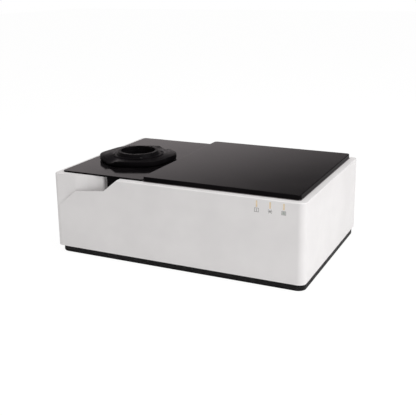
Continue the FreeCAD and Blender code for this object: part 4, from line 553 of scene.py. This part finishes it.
def screws(name, places, radius, height, out=UP):
    """Cheese-head screws with round sockets, each head starting at its place and pointing out."""
    centre = [c + height / 2 * d for c, d in zip(places[0], out)]
    head = rod(name, centre, radius, height, ALONG_Y if out == REARWARD else UPRIGHT, 24)
    sink(head, out, radius * SOCKET_BORDER, height * SOCKET_DEPTH)
    soften(head, radius * SCREW_EDGE)
    return repeat(head, name, places)


def fit(finish, body, *pieces):
    """Give pieces their finish and the body that carries them."""
    for piece in pieces:
        coat(piece, finish)
        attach(piece, body)


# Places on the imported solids

joint_at = {joint["name"]: [c / MM for c in joint["pos_m"]] for joint in record["behaviour"]["joints"]}
mount_sizes = {mount["name"]: mount["dims"] for mount in record["mounts"]}
STAGE_X, STAGE_Y, DECK_LOW = joint_at["turntable_spin"]
HINGE_Y, HINGE_Z = joint_at["stage_lift"][1:]
shell_low, shell_high = corners("outer_shell")
FRONT, RIM = shell_low[1], shell_high[2]

# Turntable: six-sided with wide round corners, two scoops for the fingers, on a bored hub

CUP_RADIUS = mount_sizes["cup_seat"]["r_mm"]
SEAT_FLOOR = 172.0
ROUND_SIDES = 96
FLAT_REACH, CORNER_ROUNDING = 78.4, 25.4
STAGE_TURN = -7.6
DECK_TOP = DECK_LOW + 9.4
SCOOP_ANGLES = (70.4, 250.4)
SCOOP_RADIUS, SCOOP_LENGTH, SCOOP_DEPTH, SCOOP_SLOPE = 42, 76, 4.6, 13
HUB_RADIUS, HUB_BORE, HUB_LOW, HUB_TOP = 46.7, 32, 164.0, 176.4
COLLAR_FOOT_RADIUS, COLLAR_TOP_RADIUS, COLLAR_HEIGHT, COLLAR_LAND = 48, 43.6, 7.8, 1.6
NOTCH_ANGLE, NOTCH_REACH, NOTCH_SIZES = 72.4, 44, (20, 7, 6)
FLANGE_RADIUS, FLANGE_BORE, FLANGE_THICKNESS = 55.4, 44, 1.4
COLLAR_BOLT_REACH, COLLAR_BOLT_TURN = 51.8, 45 + STAGE_TURN
WELL_SEAL_PLAY, WELL_SEAL_BORE, WELL_SEAL_THICKNESS = 0.1, 34.4, 0.8
# Heads of the screws: radius and height
COLLAR_BOLT, LEAF_SCREW, PANEL_SCREW, FAN_SCREW = (2.5, 1.3), (2.2, 0.6), (2.7, 1.5), (2.9, 2.0)
WINDOW_BOLT, BENCH_BOLT = (1.9, 1.1), (3.4, 2.4)


def on_stage(angle, reach, z):
    turn = math.radians(angle)
    return (STAGE_X + reach * math.cos(turn), STAGE_Y + reach * math.sin(turn), z)


def four_round(angle, reach, z):
    """Four places round the stage's axis, the first at an angle."""
    return [on_stage(angle + 90 * i, reach, z) for i in range(4)]


def drum(name, radius, low, high):
    """Upright cylinder about the stage's axis."""
    return rod(name, on_stage(0, 0, (low + high) / 2), radius, high - low, sides=ROUND_SIDES)


def turntable_deck():
    deck = rod("turntable_deck", on_stage(0, 0, (DECK_LOW + DECK_TOP) / 2),
               FLAT_REACH / math.cos(math.pi / 6), DECK_TOP - DECK_LOW, (0, 0, STAGE_TURN), 6)
    round_uprights(deck, CORNER_ROUNDING, 12)
    scoop_z = DECK_TOP - SCOOP_DEPTH + SCOOP_RADIUS / math.cos(math.radians(SCOOP_SLOPE))
    for angle in SCOOP_ANGLES:
        cut_away(deck, rod("scoop", on_stage(angle, FLAT_REACH, scoop_z), SCOOP_RADIUS, SCOOP_LENGTH,
                           (0, 90 + SCOOP_SLOPE, angle), ROUND_SIDES))
    cut_away(deck, drum("well", CUP_RADIUS, DECK_LOW - THROUGH, DECK_TOP + THROUGH))
    return soften(deck, 0.8)


def turntable_hub():
    hub = drum("turntable_hub", HUB_RADIUS, HUB_LOW, HUB_TOP)
    cut_away(hub, drum("bore", HUB_BORE, HUB_LOW - THROUGH, HUB_TOP + THROUGH),
             drum("cup_room", CUP_RADIUS, SEAT_FLOOR, HUB_TOP + THROUGH))
    return soften(hub, 0.5)


def collar_wall():
    wall = add_piece("collar_wall", bpy.ops.mesh.primitive_cone_add,
                     on_stage(0, 0, DECK_TOP + COLLAR_HEIGHT / 2), vertices=ROUND_SIDES,
                     radius1=COLLAR_FOOT_RADIUS * MM, radius2=COLLAR_TOP_RADIUS * MM,
                     depth=COLLAR_HEIGHT * MM)
    # the inset keeps the shading of the rounded edge off the level top
    edit(wall, "FACE", facing(UP))
    bpy.ops.mesh.inset(thickness=COLLAR_LAND * MM, depth=0)
    close_edit()
    cut_away(wall, drum("cup_room", CUP_RADIUS, DECK_TOP - THROUGH, DECK_TOP + COLLAR_HEIGHT + THROUGH),
             slab("notch", on_stage(NOTCH_ANGLE, NOTCH_REACH, DECK_TOP + COLLAR_HEIGHT), NOTCH_SIZES,
                  (0, 0, NOTCH_ANGLE)))
    return soften(wall, 0.9, 3)


def turntable():
    deck = turntable_deck()
    wall = collar_wall()
    flange_top = DECK_TOP + FLANGE_THICKNESS
    foot = soften(ring("collar_foot", on_stage(0, 0, (DECK_TOP + flange_top) / 2), FLANGE_RADIUS,
                       FLANGE_BORE, FLANGE_THICKNESS, ROUND_SIDES), 0.5)
    bolts = screws("collar_bolt", four_round(COLLAR_BOLT_TURN, COLLAR_BOLT_REACH, flange_top), *COLLAR_BOLT)
    seal = soften(ring("well_seal", on_stage(0, 0, SEAT_FLOOR + WELL_SEAL_THICKNESS / 2),
                       CUP_RADIUS - WELL_SEAL_PLAY, WELL_SEAL_BORE, WELL_SEAL_THICKNESS, ROUND_SIDES), 0.3)
    fit(stage_black, "turntable_assembly", deck, turntable_hub(), wall, foot)
    fit(dark_metal, "turntable_assembly", *bolts)
    fit(foot_rubber, "turntable_assembly", seal)
    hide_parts("turntable")
    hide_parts("cup_collar")
    for bolt in bolts:
        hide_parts("collar_screws")


turntable()

# Marks on the front under the three lights, raised a hair above the casing

LIGHT_HALF_WIDTH = 6
MARK_DROP, MARK_RISE, MARK_ROOT, MARK_LINE = 5.5, 0.2, 0.1, 0.8
lights_low, lights_high = corners("light_pipe")
CELL_X, PAD_X = lights_low[0] + LIGHT_HALF_WIDTH, lights_high[0] - LIGHT_HALF_WIDTH
CROSS_X = (CELL_X + PAD_X) / 2
MARK_Z = lights_low[2] - MARK_DROP


def mark(name, x, width, height, angle=0, edge=0.06):
    """Raised bar, turned by an angle about the view from the front."""
    bar = slab(name, (x, FRONT + (MARK_ROOT - MARK_RISE) / 2, MARK_Z), (width, MARK_ROOT + MARK_RISE, height),
               (0, angle, 0))
    return soften(bar, edge, 1)


def mark_frame(name, x, width, height):
    low, high = (x - width / 2, MARK_Z - height / 2), (x + width / 2, MARK_Z + height / 2)
    outline = block(name, (low[0], FRONT - MARK_RISE, low[1]), (high[0], FRONT + MARK_ROOT, high[1]))
    cut_away(outline, block("hole", (low[0] + MARK_LINE, FRONT - THROUGH, low[1] + MARK_LINE),
                            (high[0] - MARK_LINE, FRONT + THROUGH, high[1] - MARK_LINE)))
    return soften(outline, 0.08, 1)


fit(mark_grey, "housing",
    mark_frame("cell_mark_frame", CELL_X, 8.6, 7.8), mark("cell_mark_line", CELL_X, 0.9, 5.0),
    mark("cross_mark_rising", CROSS_X, 0.9, 9.4, 42), mark("cross_mark_falling", CROSS_X, 0.9, 9.4, -42),
    mark("cross_mark_level", CROSS_X, 8.2, 0.8), mark_frame("pad_mark_frame", PAD_X, 8.4, 7.4))
fit(mark_green, "housing", mark("pad_mark_fill", PAD_X, 5.4, 4.8, edge=0.1))

# Seal round the foot of the lid. Its light grey-pink colour is partly a painted highlight, the shine along
# the lid's lower edge

LID_SEAL_LEFT, LID_SEAL_FRONT, LID_SEAL_RIGHT, LID_SEAL_BACK = 0.5, 0.7, 0.7, 0.4
LID_SEAL_INSIDE, LID_SEAL_HEIGHT, LID_SEAL_CORNER, LID_SEAL_INNER_CORNER = 4, 1.1, 5.5, 3
lid_low, lid_high = corners("top_lid")
lid_seal_and_painted_highlight = band("lid_seal_and_painted_highlight", (lid_low[0] - LID_SEAL_LEFT, lid_low[1] - LID_SEAL_FRONT, RIM),
                (lid_high[0] + LID_SEAL_RIGHT, lid_high[1] + LID_SEAL_BACK, RIM + LID_SEAL_HEIGHT),
                LID_SEAL_CORNER, [c + LID_SEAL_INSIDE for c in lid_low],
                [c - LID_SEAL_INSIDE for c in lid_high], LID_SEAL_INNER_CORNER)
fit(seal_and_painted_highlight_grey, "housing", soften(lid_seal_and_painted_highlight, 0.25))

# Hinges: flat leaves on the rim with a knuckle at each end

HINGE_REACH, LEAF_HALF_WIDTH, LEAF_DEPTH, LEAF_THICKNESS, LEAF_CORNER = 60, 16.4, 8.4, 0.9, 2.5
KNUCKLE_RADIUS, KNUCKLE_LENGTH = 1.5, 8
WEB_BACK, WEB_LOW, WEB_TOP = 171, 170.05, 171.3
LEAF_SCREW_REACH, LEAF_SCREW_Y = 9, 174.8


def hinges():
    leaf_back = corners("hinge_brackets")[1][1]
    leaf_top = RIM + LEAF_THICKNESS
    knuckle_reach = LEAF_HALF_WIDTH - KNUCKLE_LENGTH / 2
    middles = (STAGE_X - HINGE_REACH, STAGE_X + HINGE_REACH)

    def both_sides(reach, y=0, z=0):
        return [(x + side, y, z) for x in middles for side in (-reach, reach)]

    x = middles[0]
    leaf = block("hinge_leaf", (x - LEAF_HALF_WIDTH, leaf_back - LEAF_DEPTH, RIM),
                 (x + LEAF_HALF_WIDTH, leaf_back, leaf_top))
    soften(round_uprights(leaf, LEAF_CORNER, 4), 0.2)
    leaves = repeat(leaf, "hinge_leaf", [(x, 0, 0) for x in middles])
    knuckle = rod("hinge_knuckle", (x - knuckle_reach, HINGE_Y, HINGE_Z), KNUCKLE_RADIUS, KNUCKLE_LENGTH,
                  ALONG_X)
    knuckles = repeat(soften(knuckle, 0.25), "hinge_knuckle", both_sides(knuckle_reach))
    web = block("hinge_web", (x - LEAF_HALF_WIDTH, HINGE_Y, WEB_LOW),
                (x - LEAF_HALF_WIDTH + KNUCKLE_LENGTH, WEB_BACK, WEB_TOP))
    webs = repeat(soften(web, 0.2), "hinge_web", both_sides(knuckle_reach))
    leaf_screws = screws("leaf_screw", both_sides(LEAF_SCREW_REACH, LEAF_SCREW_Y, leaf_top), *LEAF_SCREW)
    fit(dark_metal, "housing", *leaves, *knuckles, *webs)
    fit(zinc, "housing", *leaf_screws)
    for leaf in leaves:
        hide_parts("hinge_brackets")


hinges()

# Lift tab below the plate, with a rolled foot. Its black is partly painted shade, a dark sheet standing in
# for the shadow under the plate in the finger recess

GRIP_LEFT_INSET, GRIP_RIGHT_INSET, GRIP_THICKNESS, GRIP_DROP = 6.5, 3, 3.5, 0.1
TAB_FOOT_LEFT_INSET, TAB_FOOT_RIGHT_INSET, TAB_FOOT_SETBACK, TAB_FOOT_RADIUS = 1.5, 3.5, 2.5, 1.6
tab_low, tab_high = corners("lift_tab")
tab_grip_and_shade = block("lift_tab_grip_and_shade", (tab_low[0] + GRIP_LEFT_INSET, tab_low[1], tab_low[2] - GRIP_DROP),
                 (tab_high[0] - GRIP_RIGHT_INSET, tab_low[1] + GRIP_THICKNESS, RIM))
foot_left, foot_right = tab_low[0] + TAB_FOOT_LEFT_INSET, tab_high[0] - TAB_FOOT_RIGHT_INSET
tab_foot = rod("lift_tab_foot",
               ((foot_left + foot_right) / 2, tab_low[1] + TAB_FOOT_SETBACK, tab_low[2] + TAB_FOOT_RADIUS),
               TAB_FOOT_RADIUS, foot_right - foot_left, ALONG_X, 24)
# the tab's black stands in partly for the shadow under the plate
fit(stage_black, "stage", soften(tab_grip_and_shade, 0.1, 3), soften(tab_foot, 0.5))
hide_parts("lift_tab")

# Skirt of the base, just inside the casing's foot and nearly flush with it at the right. It reaches down
# almost to the floor, where its black is painted shade standing in for the shadow in the gap under the tray

SKIRT_LEFT, SKIRT_RIGHT, SKIRT_SIDE, SKIRT_LAP = 7, 2.6, 6.6, 1
SKIRT_OFF_FLOOR, SKIRT_GAP, SKIRT_CORNER, SKIRT_INNER_CORNER = 0.5, 0.2, 16, 14
tray_low, tray_high = corners("base_tray")
# the skirt's lowest part, down by the floor, is painted shade for the gap under the tray
skirt_and_gap_shade = band("base_skirt_and_gap_shade", (shell_low[0] + SKIRT_LEFT, shell_low[1] + SKIRT_SIDE, SKIRT_OFF_FLOOR),
             (shell_high[0] - SKIRT_RIGHT, shell_high[1] - SKIRT_SIDE, shell_low[2] - SKIRT_GAP),
             SKIRT_CORNER, [c + SKIRT_LAP for c in tray_low], [c - SKIRT_LAP for c in tray_high],
             SKIRT_INNER_CORNER)
fit(base_black, "housing", soften(skirt_and_gap_shade, 0.8))

# Back: panel and fan screws, contacts and lights in the sockets

PANEL_SCREW_IN, PANEL_SCREW_BETWEEN = 11.5, (43, 138)
PANEL_SCREW_UP, FAN_SCREW_REACH = 12, 25
TONGUE_HALF, TONGUE_ROOT, TONGUE_SETBACK = (2.1, 1.9), 1, 1.8
USB_CONTACT_IN, USB_CONTACT_WIDTH, USB_CONTACT_SUNK, USB_CONTACT_RISE = 0.6, 0.8, 0.1, 0.15
USB_CONTACT_ROOT, USB_CONTACT_SETBACK, USB_CONTACT_PITCH, USB_CONTACT_DROP = 2, 2.6, 2.2, 3.9
# A network contact's radius and length, then its place from the socket's corner
NETWORK_CONTACT, NETWORK_CONTACT_PITCH = (0.28, 13), 1.17
NETWORK_CONTACT_IN, NETWORK_CONTACT_DEPTH, NETWORK_CONTACT_DOWN = 4.15, 10, 2.4
NETWORK_LIGHT_IN, NETWORK_LIGHT_WIDTH, NETWORK_LIGHT_HALF, NETWORK_LIGHT_PITCH = 1.6, 2.8, 0.3, 10.4
NETWORK_LIGHT_LOW, NETWORK_LIGHT_TOP = 1.3, 0.35


def back_screws():
    (left, _, low), (right, back, high) = corners("rear_panel")
    panel_x = (left + PANEL_SCREW_IN, *PANEL_SCREW_BETWEEN, right - PANEL_SCREW_IN)
    panel_z = (low + PANEL_SCREW_UP, high - PANEL_SCREW_UP)
    fan_x, _, fan_z = joint_at["fan_spin"]
    reach = (-FAN_SCREW_REACH, FAN_SCREW_REACH)
    panel_spots = [(x, back, z) for x in panel_x for z in panel_z]
    fan_spots = [(fan_x + x, back, fan_z + z) for x in reach for z in reach]
    fit(zinc, "housing", *screws("panel_screw", panel_spots, *PANEL_SCREW, REARWARD),
        *screws("fan_screw", fan_spots, *FAN_SCREW, REARWARD))


def usb_inside():
    """Tongue of the USB socket with two contacts above and two below."""
    low, high = corners("usb_socket")
    x, z = (low[0] + high[0]) / 2, (low[2] + high[2]) / 2
    half_width, half_height = TONGUE_HALF
    tongue = block("usb_tongue", (x - half_width, low[1] + TONGUE_ROOT, z - half_height),
                   (x + half_width, high[1] - TONGUE_SETBACK, z + half_height))
    sink(tongue, REARWARD, 0.5, -0.4)
    left, top = x - half_width + USB_CONTACT_IN, z + half_height
    contact = block("usb_contact", (left, low[1] + USB_CONTACT_ROOT, top - USB_CONTACT_SUNK),
                    (left + USB_CONTACT_WIDTH, high[1] - USB_CONTACT_SETBACK, top + USB_CONTACT_RISE))
    spots = [(x, 0, z) for x in (0, USB_CONTACT_PITCH) for z in (0, -USB_CONTACT_DROP)]
    return soften(tongue, 0.25), repeat(soften(contact, 0.06, 1), "usb_contact", spots)


def network_inside():
    """Eight contacts of the network socket, then its two lights."""
    low, high = corners("network_socket")
    place = (low[0] + NETWORK_CONTACT_IN, low[1] + NETWORK_CONTACT_DEPTH, high[2] - NETWORK_CONTACT_DOWN)
    contact = rod("network_contact", place, *NETWORK_CONTACT, ALONG_Y, 12)
    contacts = row(soften(contact, 0.08, 1), "network_contact", 8, (NETWORK_CONTACT_PITCH, 0, 0))
    light = block("network_light",
                  (low[0] + NETWORK_LIGHT_IN, high[1] - NETWORK_LIGHT_HALF, high[2] - NETWORK_LIGHT_LOW),
                  (low[0] + NETWORK_LIGHT_IN + NETWORK_LIGHT_WIDTH, high[1] + NETWORK_LIGHT_HALF,
                   high[2] - NETWORK_LIGHT_TOP))
    return contacts, row(soften(light, 0.15), "network_light", 2, (NETWORK_LIGHT_PITCH, 0, 0))


back_screws()
usb_tongue, usb_contacts = usb_inside()
network_contacts, network_lights = network_inside()
fit(black, "housing", usb_tongue)
fit(gold, "housing", *usb_contacts, *network_contacts)
fit(amber, "housing", network_lights[0])
fit(mark_green, "housing", network_lights[1])

# Under the plate: stiffening ribs. Round the window: small bolts

RIB_WIDTH, RIB_HEIGHT, RIB_GAP = 2, 5, 0.5
RIB_FRONT, RIB_BACK = -96, 99
LONG_RIB_REACH, SHORT_RIB_REACH = 79, 76
WINDOW_BOLT_REACH, WINDOW_BOLT_TURN = 21.5, 45


def rib(name, low, high, step):
    """Rib below the rim's height with a drawn-in foot, and its twin a step on."""
    piece = block("plate_rib", (*low, RIM - RIB_HEIGHT), (*high, RIM))
    sink(piece, DOWN, 0.4, -0.6)
    return row(soften(piece, 0.3), name, 2, step)


short_x = STAGE_X - SHORT_RIB_REACH
fit(black, "stage",
    *rib("plate_rib_long", (STAGE_X - LONG_RIB_REACH, RIB_BACK),
         (STAGE_X + LONG_RIB_REACH, RIB_BACK + RIB_WIDTH), (0, RIB_FRONT - RIB_BACK, 0)),
    *rib("plate_rib_short", (short_x - RIB_WIDTH / 2, RIB_FRONT + RIB_WIDTH + RIB_GAP),
         (short_x + RIB_WIDTH / 2, RIB_BACK - RIB_GAP), (2 * SHORT_RIB_REACH, 0, 0)))
head_top = corners("measurement_head")[1][2]
window_spots = four_round(WINDOW_BOLT_TURN, WINDOW_BOLT_REACH, head_top)
fit(zinc, "housing", *screws("window_bolt", window_spots, *WINDOW_BOLT))

# Inside: cooling fins on the lamp housing, parts on the main board, bolts through the bench's isolators

FIN_INSET, FIN_SETBACK, FIN_WIDTH, FIN_ROOT, FIN_HEIGHT, FIN_PITCH = 3, 4, 1.6, 0.2, 5.2, 7
BOARD_THICKNESS = 1.6
CAPACITOR_RADIUS, CAPACITOR_HEIGHT, CAPACITOR_AT, CAPACITOR_PITCH = 4, 10, (-20, 42), 12
MEMORY_SIZES, MEMORY_AT, MEMORY_PITCH = (10, 6, 1.4), (27, -17), 14
RIBBON_SIZES, RIBBON_AT = (26, 7, 7), (-10, -45)
BENCH_BOLT_INSET = 5


def lamp_fins():
    low, high = corners("lamp_housing")
    fin = block("lamp_fin", (low[0] + FIN_INSET, low[1] + FIN_SETBACK, high[2] - FIN_ROOT),
                (high[0] - FIN_INSET, low[1] + FIN_SETBACK + FIN_WIDTH, high[2] + FIN_HEIGHT))
    sink(fin, UP, 0.35, -0.4)
    return row(soften(fin, 0.2), "lamp_fin", 6, (0, FIN_PITCH, 0))


def board_parts():
    """Capacitors, memory and ribbon socket, placed from the middle of the main board."""
    low, high = corners("main_board")
    x, y, top = (low[0] + high[0]) / 2, (low[1] + high[1]) / 2, low[2] + BOARD_THICKNESS

    def on_board(name, place, sizes):
        right, back = x + place[0], y + place[1]
        return block(name, (right, back, top), (right + sizes[0], back + sizes[1], top + sizes[2]))

    place = (x + CAPACITOR_AT[0], y + CAPACITOR_AT[1], top + CAPACITOR_HEIGHT / 2)
    capacitor = rod("board_capacitor", place, CAPACITOR_RADIUS, CAPACITOR_HEIGHT)
    sink(capacitor, UP, 0.9, 0.4)
    fit(aluminium, "housing", *row(soften(capacitor, 0.5), "board_capacitor", 4, (CAPACITOR_PITCH, 0, 0)))
    memory = soften(on_board("board_memory", MEMORY_AT, MEMORY_SIZES), 0.2)
    spots = [(MEMORY_PITCH * i, -MEMORY_PITCH * j, 0) for i in range(2) for j in range(2)]
    fit(black, "housing", *repeat(memory, "board_memory", spots))
    socket = on_board("ribbon_socket", RIBBON_AT, RIBBON_SIZES)
    sink(socket, UP, 1.0, 4.5)
    fit(nylon, "housing", soften(socket, 0.25))


def bench_bolts():
    low, high = corners("bench_isolators")
    top = corners("optical_bench")[1][2]
    spots = [(x, y, top) for x in (low[0] + BENCH_BOLT_INSET, high[0] - BENCH_BOLT_INSET)
             for y in (low[1] + BENCH_BOLT_INSET, high[1] - BENCH_BOLT_INSET)]
    return screws("bench_bolt", spots, *BENCH_BOLT)


fit(aluminium, "housing", *lamp_fins())
board_parts()
fit(zinc, "housing", *bench_bolts())
